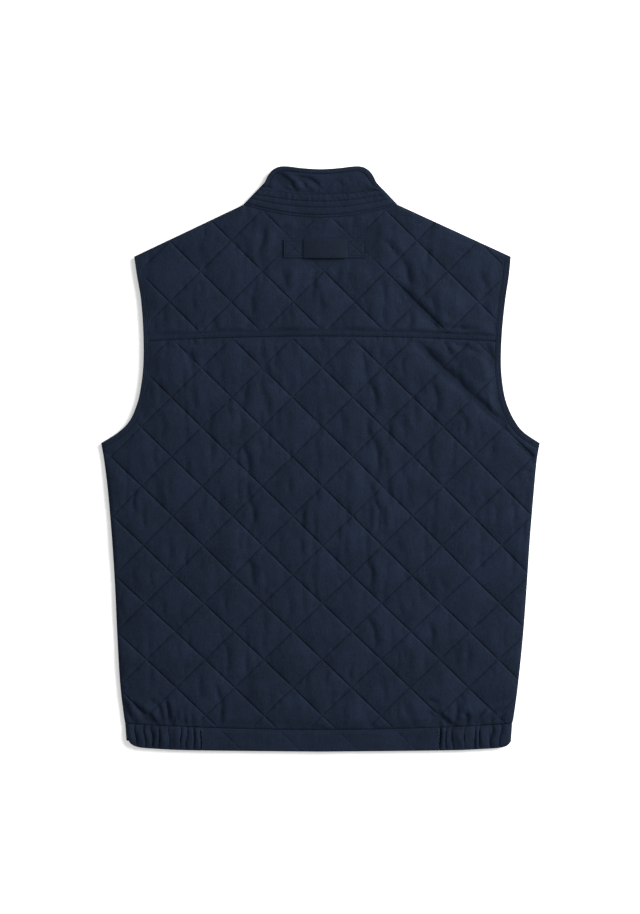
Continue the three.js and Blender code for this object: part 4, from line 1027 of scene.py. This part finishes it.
def upper_rise(s, plan, along):
    flat = plan.reshape(-1, 2)
    puff = pillow(QUILT_COLLAR, flat[:, 0], flat[:, 1], 0.5).reshape(s.shape)
    shape = np.sin(np.pi * np.clip(s, 0, 1)) ** 0.6
    folds = creases(flat, COLLAR_CREASES).reshape(s.shape)
    wave = 0.45 * noise(along / 13, s * 2.2, 53) + 0.65 * noise(along / 4, s * 2.5, 54) * (1 - s) ** 1.3
    lines = 0.5 * notch(QUILT_COLLAR, flat).reshape(s.shape)
    return STITCH_WALL + np.maximum(shape * (1.0 + 1.1 * puff + folds + wave - lines), -1.2)


def top_binding_rise(s, plan, along):
    rounded = 1.5 * np.sqrt(np.clip(1 - np.clip((s - 0.62) / 0.4, 0, 1) ** 2, 0, 1))
    rise = STITCH_WALL - 0.6 + rounded + 0.2 * smoothstep(s, 0, 0.12) + groove(s, 0.1, 0.06, 0.4)
    return rise + 0.14 * noise(along / 6, s * 2, 55) * np.sin(np.pi * s)


def collar_strip(name, low, high, shares, rise_of):
    reach = neck_end[0]
    distances = from_fold(reach, 1.3)
    along = 1 - distances / reach

    def part(side, up):
        bottom = collar_points(side, not up, low, along, HALF_GAP)
        top = collar_points(side, not up, high, along, 0 if high == "edge" else -HALF_GAP)
        plan = mix(bottom[:, None], top[:, None], shares[None, :, None])
        run = (side * along * reach)[:, None] + 0 * shares[None]
        rise = rise_of(shares[None] + 0 * run, plan, run + (0 if up else 400))
        if not up:
            rise = np.maximum(0.9 - 0.5 * (rise - 1.6), 0)
        inward = np.array([-side * up_fold[1], up_fold[0]])
        normal = [collar_points(side, not up, line, along, SEAM_LEAN) for line in (high, low)]
        normal[0] -= collar_points(side, not up, high, along, 0)
        normal[1] -= collar_points(side, not up, low, along, 0)
        lean = (normal[0] * (high != "edge"), normal[1])
        return folded(up, distances, bottom, top, shares, rise, inward, lean, collar_stand)

    halves = [
        part(-1, False)[::-1],
        part(-1, True)[1:],
        part(1, True)[-2::-1],
        part(1, False)[1:],
    ]
    return strip(name, np.concatenate(halves))


BAND_SHARES = np.r_[0, 0.02, 0.05, np.linspace(0.08, 0.96, 34), 0.98, 1]
UPPER_SHARES = np.r_[0, 0.02, 0.05, np.linspace(0.08, 0.94, 22), 0.97, 1]
TOP_SHARES = np.array([0, 0.05, 0.1, 0.16, 0.25, 0.38, 0.5, 0.62, 0.74, 0.84, 0.91, 0.96, 1])
collar_band = collar_strip("collar_stitched_band", "neck", "band", BAND_SHARES, band_rise)
collar_upper = collar_strip("collar_quilted_top", "band", "binding", UPPER_SHARES, upper_rise)
collar_binding = collar_strip("collar_edge_binding", "binding", "edge", TOP_SHARES, top_binding_rise)

# %% [markdown]
# ## The hem
# Elastic is sewn inside the casings at the sides and draws them into upright ridges. Between them the
# hem is a flat band without gathers, through which the quilting shows. The casings wrap round the side
# folds to the front.

# %% Gathered casings
CASING_SHARES = np.r_[0, 0.03, 0.07, np.linspace(0.12, 0.88, 15), 0.93, 0.97, 1]
FULL_RIDGE = 15.2  # width of the ridges that stand up fully


def hem_bottom(x):
    return np.interp(np.minimum(np.abs(x), HEM_EDGE[-1][0]), hem_edge[:, 0], hem_edge[:, 1])


def hem_casing(name, side):
    fold_x = abs(sides[side][-1][0])
    reach = fold_x - BAND_END
    distances = from_fold(reach, 0.8)
    x = fold_x - distances
    valleys = np.array(VALLEYS[side])
    low = np.stack([side * x, seam_y(HEM_SEAM, x) - HALF_GAP], 1)
    pulled_in = 1.6 * (1 - np.clip(distances / FOLD_REACH, 0, 1))
    high = np.stack([side * (x - pulled_in), hem_bottom(x)], 1)
    inward = np.array([-side, -2 * HEM_SEAM[1] * fold_x / HEM_SEAM[2] ** 2])
    s = CASING_SHARES[None]

    def gathered(flip):
        slant = 4.6 * noise(x[:, None] / 11.5, s * 1.2, 61 + flip) * np.sin(np.pi * mix(0.12, 0.9, s))
        place = np.interp(x[:, None] + slant, valleys, np.arange(len(valleys)))
        number = np.floor(place)
        width = np.interp(number, np.arange(len(valleys) - 1), np.diff(valleys)) / FULL_RIDGE
        deep = 0.9 + 0.3 * noise(np.round(place) * 3.3, s * 1.5, 65)
        ridge = (1 - deep * (1 - np.abs(np.sin(np.pi * place)) ** 0.34)) * width**0.2
        across = np.sin(np.pi * mix(0.1, 0.92, s)) ** 0.75
        fine = 0.3 * noise(x[:, None] / 3, s * 3, 63) + 0.35 * noise(x[:, None] / 6, s * 1.4, 66)
        full = 5.3 * ridge * (0.9 + 0.14 * noise(number, s * 2, 64))
        return 0.7 + np.maximum(full + fine, 0) * across

    upright = (np.zeros((len(x), 2)), np.zeros((len(x), 2)))
    back = folded(True, distances, low, high, CASING_SHARES, gathered(0), inward, upright)
    pressed = np.maximum(1.6 - 0.45 * (gathered(5) - 1.3), 0)
    front = folded(False, distances, low, high, CASING_SHARES, pressed, inward, upright)
    return strip(name, np.concatenate([back[::-1], front[1:]]))


casings = {side: hem_casing("gathered_hem_" + name, side) for side, name in NAMES.items()}


# %% Plain bands
BAND_REACH = 149.45  # where the plain bands end, short of the casings by a seam's gap
HEM_ROW = 0.08  # share of the band's height at which it is stitched
HEM_SHARES = np.r_[0, 0.02, 0.05, 0.08, 0.11, 0.14, np.linspace(0.18, 0.9, 22), 0.94, 0.97, 0.99, 1]


def hem_band(name, start, end, up):
    x = np.linspace(start, end, int(abs(end - start) / 1.1) + 1)
    s = HEM_SHARES
    top, bottom = seam_y(HEM_SEAM, x) - HALF_GAP, hem_bottom(x)
    y = mix(top[:, None], bottom[:, None], s[None])
    wide_x = x[:, None] + 0 * y
    rim = np.sqrt(np.clip(1 - ((s - 0.94) / 0.06).clip(0, 1) ** 2, 0, 1))[None]
    wave = 0.25 * noise(wide_x / 19, y / 12, 71) + 0.16 * noise(wide_x / 6, y / 9, 72)
    lines = notch(QUILT_BODY, np.stack([wide_x, y], -1).reshape(-1, 2)).reshape(wide_x.shape)
    quilted = (0.9 * pillow(QUILT_BODY, wide_x, y, 0.6) - 0.6 * lines) * smoothstep(s, 0.05, 0.2)
    puckered = 0.35 * noise(wide_x / 3.2, s * 3, 73) * np.exp(-s / 0.12)
    rise = 1.2 + (1.2 + quilted + (wave + puckered) * smoothstep(s, 0, 0.1)) * rim
    rise += groove(s, HEM_ROW, 0.03, 0.5)[None] - SEAM_DROP * np.exp(-((s / 0.04) ** 2))
    if up:
        z, inner = BACK_INNER + rise, BACK_INNER
    else:
        z, inner = np.maximum(1.9 - rise, 0) * 0.8 + 0.8 * (1 - rim), FRONT_INNER
    outer = np.stack([wide_x, y, z], 2)
    edges = np.stack([np.stack([x, bottom], 1), np.stack([x, top], 1)], 1)
    inner = np.concatenate([edges, np.full((len(x), 2, 1), inner)], 2)
    return strip(name, np.concatenate([outer, inner], 1))


hem_back = hem_band("hem_band_back", -BAND_REACH, BAND_REACH, True)
hem_fronts = {
    -1: hem_band("hem_band_front_left", -BAND_REACH, -ZIP_EDGE, False),
    1: hem_band("hem_band_front_right", ZIP_EDGE, BAND_REACH, False),
}

# %% [markdown]
# ## Hanger loop
# A strap of the shell's own cloth is sewn down at both ends with a crossed square and stands off the
# yoke between them. A ribbon sleeve, left bare, is round its middle.


# %% Strap and sleeve
STRAP_Z = 8.3  # height of the strap's underside where it is sewn down
SQUARE_MARGIN = 1.6  # from the strap's end to the square's stitching
SQUARE_HALF = HANGER["wide"] / 2 - 2.2


def strap_low(x):
    """Height of the strap's underside."""
    from_end = HANGER["long"] / 2 - np.abs(x - HANGER["x"])
    loose = np.clip((from_end - HANGER["sewn"]) / (HANGER["long"] / 2 - HANGER["sewn"]), 0, 1)
    return STRAP_Z + HANGER["bow"] * np.sin(np.pi / 2 * loose) ** 0.7


def crossed_square(x, y):
    """1 on the stitching that holds the strap's ends."""
    half = SQUARE_HALF
    away = HANGER["long"] / 2 - np.abs(x - HANGER["x"])  # from the strap's end
    u, v = away - HANGER["sewn"] / 2, y - HANGER["y"]
    reach = HANGER["sewn"] / 2 - SQUARE_MARGIN
    lines = [np.abs(np.maximum(np.abs(u) / reach, np.abs(v) / half) - 1) * half]
    lines += [np.abs(u / reach - v / half) * half / 1.5, np.abs(u / reach + v / half) * half / 1.5]
    near = np.minimum(np.minimum(*lines[1:]), lines[0])
    at_end = (np.abs(u) < reach + 1) & (np.abs(v) < half + 1)
    return np.exp(-((near / 0.55) ** 2)) * at_end


def strap_sections():
    """A flat strap along X with rounded long edges, dented by its stitching."""
    x = HANGER["x"] + np.linspace(-0.5, 0.5, 140) * HANGER["long"]
    low_y, high_y = HANGER["y"] - HANGER["wide"] / 2, HANGER["y"] + HANGER["wide"] / 2
    low_z, high_z = strap_low(x), strap_low(x) + HANGER["thick"]
    s = np.r_[0, 0.02, 0.06, np.linspace(0.1, 0.9, 33), 0.94, 0.98, 1]
    y = mix(low_y, high_y, s)[None] + 0 * x[:, None]
    rim = np.sqrt(np.clip(1 - ((np.abs(2 * s - 1) - 0.9) / 0.1).clip(0, 1) ** 2, 0, 1))[None]
    middle, half = (low_z + high_z)[:, None] / 2, (high_z - low_z)[:, None] / 2
    wide_x = x[:, None] + 0 * y
    dent = 0.5 * crossed_square(wide_x, y) - 0.08 * noise(wide_x / 7, y / 5, 81)
    upper = np.stack([wide_x, y, middle + half * mix(0.35, 1, rim) - dent], 2)
    edges = np.array([high_y, low_y])
    under = np.stack([x[:, None] + 0 * edges, edges + 0 * x[:, None], (middle - half) + 0 * edges], 2)
    return np.concatenate([upper, under], 1)


hanger = strip("hanger_strap", strap_sections())
SLEEVE_LONG, SLEEVE_CLEAR, SLEEVE_WALL = 53.4, 0.3, 0.6


def sleeve_sections():
    x = HANGER["x"] + np.linspace(-0.5, 0.5, 50) * SLEEVE_LONG
    turns = np.linspace(0, 2 * np.pi, 64, endpoint=False)

    def loop(grow):
        half_y, half_z = HANGER["wide"] / 2 + grow, HANGER["thick"] / 2 + grow
        across = np.sign(np.cos(turns)) * np.abs(np.cos(turns)) ** 0.35
        up = np.sign(np.sin(turns)) * np.abs(np.sin(turns)) ** 0.6
        z = strap_low(x)[:, None] + HANGER["thick"] / 2 + half_z * up[None]
        wave = 0.12 * noise(x[:, None] / 9, across[None] * 2, 82) * (up > 0.3)
        return np.stack([x[:, None] + 0 * z, HANGER["y"] + half_y * across[None] + 0 * z, z + wave], 2)

    return np.concatenate([loop(SLEEVE_CLEAR + SLEEVE_WALL), loop(SLEEVE_CLEAR)[::-1]])


sleeve = strip("ribbon_sleeve", sleeve_sections(), ring=True)

# %% [markdown]
# ## Stitches
# Each row of sewing is a line of lockstitches, 3.3 mm apart in the quilting, 2.8 mm along the edges and
# 2.4 mm on the strap.
# One stitch is a small spindle of thread. It is repeated with an array, and a curve modifier bends the
# row along the cloth. All the rows of one piece become one object. Real thread is 0.3 mm thick and
# wouldn't show from here, so it is drawn at 0.5 mm. Its colour is darker than the shell's: partly the
# thread's own navy, partly painted shade of the notch that it lies in.


# %% Rows of stitches
EDGE_STITCH = (2.8, 2.2)  # pitch and length of the stitches along an edge
STRAP_STITCH = (2.4, 1.9)
LIFT = 0.1  # how far a row lies above its cloth
LOWEST = 0.3  # a row's lowest height, so that no thread goes through the floor
RIM_CLEAR = 2.0  # how far from a panel's rim its quilting ends
TOP_ROW = 0.13  # share of the collar binding's height at which it is stitched


def repeated(thing, count, offset):
    """Adds an array that repeats a small piece at a constant offset."""
    repeat = thing.modifiers.new("repeat", "ARRAY")
    repeat.count, repeat.use_relative_offset, repeat.use_constant_offset = count, False, True
    repeat.constant_offset_displace = offset


def stitches(name, rows, pitch=3.3, long=2.7, thick=0.5):
    """One object with a stitch repeated along each row, a row being points in millimetres."""
    deselect()
    bpy.ops.mesh.primitive_uv_sphere_add(segments=5, ring_count=3, radius=1, rotation=(0, math.pi / 2, 0))
    first = bpy.context.object
    first.scale = (thick / 2 * MM, thick / 2 * MM, long / 2 * MM)
    first.location = (pitch / 2 * MM, 0, 0)
    bpy.ops.object.transform_apply()
    bpy.ops.object.shade_smooth()
    made = []
    for row in rows:
        count = int(lengths(row)[-1] / pitch)
        if count < 2:
            continue
        guide = bpy.data.curves.new("row", "CURVE")
        guide.dimensions, guide.twist_mode = "3D", "Z_UP"
        line = guide.splines.new("POLY")
        line.points.add(len(row) - 1)
        line.points.foreach_set("co", np.column_stack([row * MM, np.ones(len(row))]).ravel())
        guide = bpy.data.objects.new("row", guide)
        bpy.context.collection.objects.link(guide)
        sewn = first.copy()
        sewn.data = first.data.copy()
        bpy.context.collection.objects.link(sewn)
        repeated(sewn, count, (lengths(row)[-1] / count * MM, 0, 0))
        sewn.modifiers.new("follow", "CURVE").object = guide
        apply(sewn, "repeat", "follow")
        bpy.data.objects.remove(guide)
        made.append(sewn)
    bpy.data.objects.remove(first)
    deselect()
    for sewn in made:
        sewn.select_set(True)
    bpy.context.view_layer.objects.active = made[0]
    bpy.ops.object.join()
    made[0].name = name
    print(name, len(made[0].data.polygons), "faces in", len(made), "rows")
    return made[0]


def runs_of(points, keep):
    """The stretches of a line where keep is true."""
    change = np.flatnonzero(np.diff(np.r_[False, keep, False].astype(int)))
    return [points[a:b] for a, b in zip(change[::2], change[1::2]) if b - a > 5]


def quilting(quilt, cut, surface, lift):
    """The panel's stitch lines, in the notches of its outer face."""
    outline, folds = cut
    low, high = lattice_range(quilt, outline)
    runs = []
    for fixed in (0, 1):
        free = np.arange(low[1 - fixed], high[1 - fixed], 0.04)
        for line in np.arange(low[fixed], high[fixed] + 1):
            pair = (free * 0 + line, free) if fixed == 0 else (free, free * 0 + line)
            plan = quilt_place(quilt, *pair)
            keep = inside(plan, outline) & (from_rim(plan, outline) > RIM_CLEAR)
            runs += runs_of(plan, keep)
    every = np.vstack(runs)
    every = np.column_stack([every, np.maximum(surface(every, quilt, outline, folds) + lift, LOWEST)])
    return np.split(every, np.cumsum([len(run) for run in runs])[:-1])


def on_strip(name, shares, share):
    """A row along a strip, at a share of its width."""
    k = int(np.clip(np.searchsorted(shares, share) - 1, 0, len(shares) - 2))
    t = (share - shares[k]) / (shares[k + 1] - shares[k])
    row = mix(laid[name][:, k], laid[name][:, k + 1], t) + [0, 0, LIFT]
    return np.maximum(row, [-1e3, -1e3, LOWEST])


# %% Sew the panels
def yoke_row(above):
    """A row of topstitching at a distance above the yoke seam."""
    outline, folds = yoke_cut
    x = np.arange(-230, 232, 1.5)
    plan = np.stack([x, seam_y(YOKE_SEAM, x) + above], 1)
    plan = plan[inside(plan, outline) & (from_rim(plan, outline) > 1)]
    return np.column_stack([plan, back_surface(plan, QUILT_YOKE, outline, folds) + LIFT])


sewing = [
    stitches("thread_back", quilting(QUILT_BODY, body_cut, back_surface, LIFT)),
    stitches("thread_yoke", quilting(QUILT_YOKE, yoke_cut, back_surface, LIFT)),
    stitches("thread_yoke_seam", [yoke_row(above) for above in TOPSTITCH], *EDGE_STITCH),
]
for side, name in NAMES.items():
    rows = quilting(QUILT_FRONT, front_cuts[side], front_surface, -LIFT)
    sewing.append(stitches("thread_front_" + name, rows))

# %% Sew the edges
band_rows = [on_strip("collar_stitched_band", BAND_SHARES, share) for share in BAND_ROWS]
sewing.append(stitches("thread_collar_band", band_rows, *EDGE_STITCH))
top_row = on_strip("collar_edge_binding", TOP_SHARES, TOP_ROW)
sewing.append(stitches("thread_collar_edge", [top_row], *EDGE_STITCH))
for name in NAMES.values():
    rings = [on_strip("armhole_binding_" + name, BINDING_SHARES, share) for share in BINDING_ROWS]
    rings = [np.vstack([ring, ring[:1]]) for ring in rings]
    sewing.append(stitches("thread_armhole_" + name, rings, *EDGE_STITCH))
bands = ["hem_band_" + part for part in ("back", "front_left", "front_right")]
hem_rows = [on_strip(band, HEM_SHARES, HEM_ROW) for band in bands]
sewing.append(stitches("thread_hem", hem_rows, *EDGE_STITCH))


def square_rows():
    """The crossed squares at the strap's ends."""
    rows = []
    near = HANGER["long"] / 2 - SQUARE_MARGIN
    far = HANGER["long"] / 2 - HANGER["sewn"] + SQUARE_MARGIN
    low, high = HANGER["y"] - SQUARE_HALF, HANGER["y"] + SQUARE_HALF
    t = np.linspace(0, 1, 12)[:, None]
    for end in (-1, 1):
        a, b = HANGER["x"] + end * near, HANGER["x"] + end * far
        square = [(a, low), (a, high), (b, high), (b, low), (a, low)]
        for ends in (square, [(a, low), (b, high)], [(a, high), (b, low)]):
            line = np.vstack([mix(np.array(p), np.array(q), t) for p, q in zip(ends, ends[1:])])
            line = line[np.r_[True, np.linalg.norm(np.diff(line, axis=0), axis=1) > 0.01]]
            rows.append(np.column_stack([line, strap_low(line[:, 0]) + HANGER["thick"] - 0.3]))
    return rows


sewing.append(stitches("thread_strap", square_rows(), *STRAP_STITCH))

# %% [markdown]
# ## Zip teeth
# The chain is moulded onto the tapes' edges. A tooth is a block that grips the cord of its tape, with a
# narrower neck and a wide head, and those of the two sides interlock. It is modelled from a cube, once
# for each side, and an array repeats it. Its shape must show where the vest is turned over. The slider,
# the pull and the box are hard castings, so their solids only get their edges rounded.


# %% Teeth, slider and box
TOOTH_PITCH = 2.9
# Each step of a tooth out from its tape: the reach, and the width next to the step before
TOOTH_PARTS = ((0.25, 0.6), (0.6, 1.0), (0.35, 1.45), (0.4, 0.75))
chain_low, chain_high = (np.array(corner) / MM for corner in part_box("zip_chain"))


def round_edges(thing, width, segments):
    soft = thing.modifiers.new("rounded", "BEVEL")
    soft.width, soft.segments, soft.limit_method = width * MM, segments, "ANGLE"
    apply(thing, "rounded")


def teeth(name, side, shift):
    """A row of moulded teeth that grips one tape."""
    long, tall = 1.25, chain_high[2] - chain_low[2] - 0.1
    middle = (chain_low[2] + chain_high[2]) / 2
    deselect()
    bpy.ops.mesh.primitive_cube_add(size=1, location=(side * 1.1 * MM, 0, middle * MM))
    tooth = bpy.context.object
    tooth.scale = (0.9 * MM, long * MM, tall * MM)
    bpy.ops.object.transform_apply()
    tooth.name = name
    edit(tooth)
    bpy.ops.object.mode_set(mode="OBJECT")
    for face in tooth.data.polygons:
        face.select = face.normal[0] * side < -0.9
    bpy.ops.object.mode_set(mode="EDIT")
    bpy.ops.mesh.select_mode(type="FACE")
    for reach, wide in TOOTH_PARTS:
        bpy.ops.mesh.extrude_region_move(TRANSFORM_OT_translate={"value": (-side * reach * MM, 0, 0)})
        bpy.ops.transform.resize(value=(1, wide, 0.96))
    bpy.ops.object.mode_set(mode="OBJECT")
    round_edges(tooth, 0.12, 1)
    count = int((chain_high[1] - chain_low[1] - long - shift) / TOOTH_PITCH) + 1
    repeated(tooth, count, (0, TOOTH_PITCH * MM, 0))
    apply(tooth, "repeat")
    move_points(tooth, points_of(tooth) + np.array([0, chain_low[1] + long / 2 + 0.1 + shift, 0]) * MM)
    finish_cloth(tooth, 35)
    print(name, len(tooth.data.polygons), "faces")
    return tooth


zip_teeth = [teeth("zip_teeth_left", -1, 0), teeth("zip_teeth_right", 1, TOOTH_PITCH / 2)]


def softened(name, node_name, width):
    """A copy of a hard solid with its edges rounded, as castings have."""
    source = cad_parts[node_name]
    copy = source.copy()
    copy.data = source.data.copy()
    copy.name = name
    bpy.context.collection.objects.link(copy)
    edit(copy)
    bpy.ops.mesh.remove_doubles(threshold=0.000002)
    bpy.ops.mesh.dissolve_limited(angle_limit=math.radians(1))
    bpy.ops.object.mode_set(mode="OBJECT")
    round_edges(copy, width, 2)
    bpy.ops.object.shade_smooth_by_angle(angle=math.radians(35))
    print(name, len(copy.data.polygons), "faces")
    return copy


zip_metal = {
    "zip_slider": softened("zip_slider_cast", "zip_slider", 0.2),
    "zip_pull": softened("zip_pull_tab", "zip_pull", 0.15),
    "zip_box": softened("zip_box_moulded", "zip_box", 0.25),
}

# %% [markdown]
# ## Which solid each piece stands for
# The zip's pull rides on its own body, which swings, and every other piece rides on the vest. A piece
# replaces its solid, which is hidden. A piece of cloth gets the finish of its slot, and the stitches,
# which have no solid, get the thread's.

# %% Ride and replace
CLOTH = [  # piece, node, slot, the cut that shows in metres, and its area
    (back_body, "back_body", "shell", (0.553, 0.496), loop_area(body_cut[0]) * MM**2),
    (back_yoke, "back_yoke", "shell", (0.462, 0.173), loop_area(yoke_cut[0]) * MM**2),
    (collar_band, "collar_band", "shell", (0.38, 0.034), None),
    (collar_upper, "collar_upper", "shell", (0.346, 0.022), None),
    (collar_binding, "collar_binding", "trim", (0.34, 0.01), None),
    (hem_back, "hem_back", "shell", (0.299, 0.031), None),
    (hanger, "hanger_loop", "trim", (0.103, 0.0245), None),
    (sleeve, "label_sleeve", "ribbon", (0.053, 0.052), None),
]
for side, name in NAMES.items():
    CLOTH += [
        (fronts[side], "front_" + name, "shell", (0.268, 0.662), loop_area(front_cuts[side][0]) * MM**2),
        (bindings[side], "binding_" + name, "trim", (0.54, 0.0105), None),
        (casings[side], "hem_casing_" + name, "shell", (0.26, 0.028), None),
        (hem_fronts[side], "hem_front_" + name, "shell", (0.1424, 0.031), None),
    ]


for piece, solid, slot, flat, area in CLOTH:
    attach(piece, "vest")
    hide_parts(solid)
for thread_piece in sewing:
    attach(thread_piece, "vest")
for row in zip_teeth:
    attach(row, "vest")
    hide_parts("zip_chain")
for node_name, piece in zip_metal.items():
    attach(piece, "pull" if node_name == "zip_pull" else "vest")
    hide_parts(node_name)
print("pieces of cloth:", len(CLOTH), "and of thread:", len(sewing))

# %% [markdown]
# ## Finishes
# One function turns a sRGB hex colour to the linear values that the shader needs, one adds a node with
# its settings and links, and one sets constants on a shader's own sockets.


# %% Material helpers
def linear(hex_colour):
    parts = [int(hex_colour[i : i + 2], 16) / 255 for i in (1, 3, 5)]
    return (*[c / 12.92 if c <= 0.04045 else ((c + 0.055) / 1.055) ** 2.4 for c in parts], 1)


def node(tree, kind, links=None, **settings):
    made = tree.nodes.new("ShaderNode" + kind)
    for key, value in settings.items():
        setattr(made, key, value)
    for socket, source in (links or {}).items():
        target = made.inputs[socket]
        if isinstance(source, bpy.types.NodeSocket):
            tree.links.new(source, target)
        else:
            target.default_value = source
    return made


def set_inputs(shader, values):
    for socket, value in values.items():
        shader.inputs[socket].default_value = value


def new_material(name):
    material = bpy.data.materials.new(name)
    material.use_nodes = True
    return material, material.node_tree, material.node_tree.nodes["Principled BSDF"]


# %% [markdown]
# ### Woven polyester
# The shell is a tightly woven, peached polyester: matt, with a soft bloom where it turns away from the
# eye. Its threads are 0.25 mm apart, too fine to show from here, so the weave is drawn at 0.9 mm. The
# dye is even, with a little mottling over some centimetres.


# %% Cloth material
def woven(name, dark, light, thread, roughness, sheen, relief, specular):
    material, tree, shader = new_material(name)
    place = node(tree, "TexCoord").outputs["Object"]
    cloud = node(tree, "TexNoise", {"Vector": place, "Scale": 28.0, "Detail": 3.0, "Roughness": 0.6})
    grain = node(tree, "TexNoise", {"Vector": place, "Scale": 520.0, "Detail": 2.0, "Roughness": 0.7})
    blend = node(tree, "Mix", {0: 0.62, 2: cloud.outputs["Fac"], 3: grain.outputs["Fac"]}, data_type="FLOAT")
    stretched = node(tree, "Mapping", {"Vector": place, "Scale": (900, 90, 300)})
    slub = node(tree, "TexNoise", {"Vector": stretched.outputs["Vector"], "Scale": 1.0, "Detail": 1.0})
    blend = node(tree, "Mix", {0: 0.22, 2: blend.outputs[0], 3: slub.outputs["Fac"]}, data_type="FLOAT")
    ramp = node(tree, "ValToRGB", {"Fac": blend.outputs[0]})
    for stop, position, colour in zip(ramp.color_ramp.elements, (0.38, 0.62), (dark, light)):
        stop.position, stop.color = position, linear(colour)
    tree.links.new(ramp.outputs["Color"], shader.inputs["Base Color"])
    period = 2 * math.pi / 20  # of a wave texture of scale 1, in metres
    scale = period / (thread * MM)
    warp = node(tree, "TexWave", {"Vector": place, "Scale": scale, "Distortion": 0.6}, bands_direction="X")
    weft = node(tree, "TexWave", {"Vector": place, "Scale": scale, "Distortion": 0.6}, bands_direction="Y")
    weave = node(tree, "Math", {0: warp.outputs["Fac"], 1: weft.outputs["Fac"]}, operation="MULTIPLY")
    parts = {0: grain.outputs["Fac"], 1: 1.2, 2: weave.outputs[0]}
    height = node(tree, "Math", parts, operation="MULTIPLY_ADD")
    bump = node(tree, "Bump", {"Height": height.outputs[0], "Strength": relief, "Distance": 0.0002})
    tree.links.new(bump.outputs["Normal"], shader.inputs["Normal"])
    set_inputs(shader, {"Roughness": roughness, "Specular IOR Level": specular})
    set_inputs(shader, {"Sheen Weight": sheen, "Sheen Roughness": 0.45, "Sheen Tint": linear("#7d8796")})
    return material


shell = woven("peached_woven_polyester", "#0f1621", "#182131", 0.9, 0.8, 0.03, 0.5, 0.06)
trim = woven("bias_cut_woven_polyester", "#0e1520", "#172030", 0.9, 0.78, 0.03, 0.5, 0.07)
ribbon = woven("satin_woven_ribbon", "#0f1620", "#141c29", 0.7, 0.7, 0.02, 0.35, 0.06)
# The thread is darker than the shell: partly its own navy, partly painted shade of the stitch notches.
thread = woven("polyester_thread_painted_notch_shade", "#0c121b", "#131b27", 0.4, 0.7, 0.05, 0.3, 0.1)


def paint(thing, material):
    thing.data.materials.clear()
    thing.data.materials.append(material)


for piece, _, slot, _, _ in CLOTH:
    paint(piece, {"shell": shell, "trim": trim, "ribbon": ribbon}[slot])
for thread_piece in sewing:
    paint(thread_piece, thread)


# %% [markdown]
# ### Zip finishes
# The zip under the vest has a woven tape, moulded acetal teeth and a slider of painted zinc.


# %% Zip materials
def hard(name, colour, roughness, metallic, grit, relief):
    material, tree, shader = new_material(name)
    place = node(tree, "TexCoord").outputs["Object"]
    speck = node(tree, "TexNoise", {"Vector": place, "Scale": 1 / (grit * MM), "Detail": 2.0})
    ends = {"To Min": roughness - 0.06, "To Max": roughness + 0.08}
    rough = node(tree, "MapRange", {"Value": speck.outputs["Fac"], **ends})
    tree.links.new(rough.outputs["Result"], shader.inputs["Roughness"])
    bump = node(tree, "Bump", {"Height": speck.outputs["Fac"], "Strength": relief, "Distance": 0.0001})
    tree.links.new(bump.outputs["Normal"], shader.inputs["Normal"])
    set_inputs(shader, {"Base Color": linear(colour), "Metallic": metallic})
    return material


zinc = hard("painted_zinc", "#2a3039", 0.38, 0.6, 0.8, 0.15)
acetal = hard("moulded_acetal", "#1d2430", 0.42, 0.0, 1.2, 0.1)
for name in ("zip_tape_left", "zip_tape_right"):
    paint(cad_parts[name], trim)
for row in zip_teeth:
    paint(row, acetal)
for piece in zip_metal.values():
    paint(piece, zinc)

# %% [markdown]
# ## Floor, light and camera
# The floor is a white product table that glows a little, so that the vest throws hardly any shadow. A
# large soft light stands to the right, a little towards the collar, so the valleys of the quilting show,
# and an even white world fills the shadows. The camera looks straight down from 4 m, so that it hardly
# has any perspective, at 1.26 mm a pixel.

# %% Stage
FLOOR_Z = -0.0003  # a little under the cloth, so that the two surfaces don't fall together
deselect()
bpy.ops.mesh.primitive_plane_add(size=12, location=(0, 0, FLOOR_Z))
floor = bpy.context.object
floor.name = "floor"
floor_paint, _, floor_shader = new_material("matt_white_floor")
set_inputs(floor_shader, {"Base Color": linear("#f4f4f4"), "Roughness": 0.9})
set_inputs(floor_shader, {"Emission Color": (1, 1, 1, 1), "Emission Strength": 0.3})
paint(floor, floor_paint)

world = bpy.data.worlds.new("studio")
bpy.context.scene.world = world
world.use_nodes = True
set_inputs(world.node_tree.nodes["Background"], {"Color": (1, 1, 1, 1), "Strength": 0.48})


def soft_light(name, azimuth, height, distance, size, power):
    a, h = math.radians(azimuth), math.radians(height)
    place = np.array([math.cos(a) * math.cos(h), math.sin(a) * math.cos(h), math.sin(h)]) * distance
    deselect()
    bpy.ops.object.light_add(type="AREA", location=place, rotation=(0, math.pi / 2 - h, a))
    lamp = bpy.context.object
    lamp.name, lamp.data.size, lamp.data.energy = name, size, power


soft_light("key_light", azimuth=28, height=37, distance=3.2, size=1.95, power=201)

WIDE, TALL, PIXEL = 640, 914, 1.26 * MM  # the picture in pixels, and a pixel's size on the vest
ORIGIN_PX = (320.5, 459)  # the pixel at the vest's origin
CAMERA_HEIGHT = 4.0
CLOTH_HEIGHT = 0.008  # where a pixel has that size
SENSOR = 24.0
camera_x, camera_y = (WIDE / 2 - ORIGIN_PX[0]) * PIXEL, (ORIGIN_PX[1] - TALL / 2) * PIXEL
deselect()
bpy.ops.object.camera_add(location=(camera_x, camera_y, CAMERA_HEIGHT), rotation=(0, 0, 0))
camera = bpy.context.object
camera.data.sensor_fit = "VERTICAL"
camera.data.sensor_height = SENSOR
camera.data.lens = SENSOR * (CAMERA_HEIGHT - CLOTH_HEIGHT) / (TALL * PIXEL)
bpy.context.scene.camera = camera
bpy.context.scene.view_settings.view_transform = "Standard"
print("lens", round(camera.data.lens, 1), "mm")
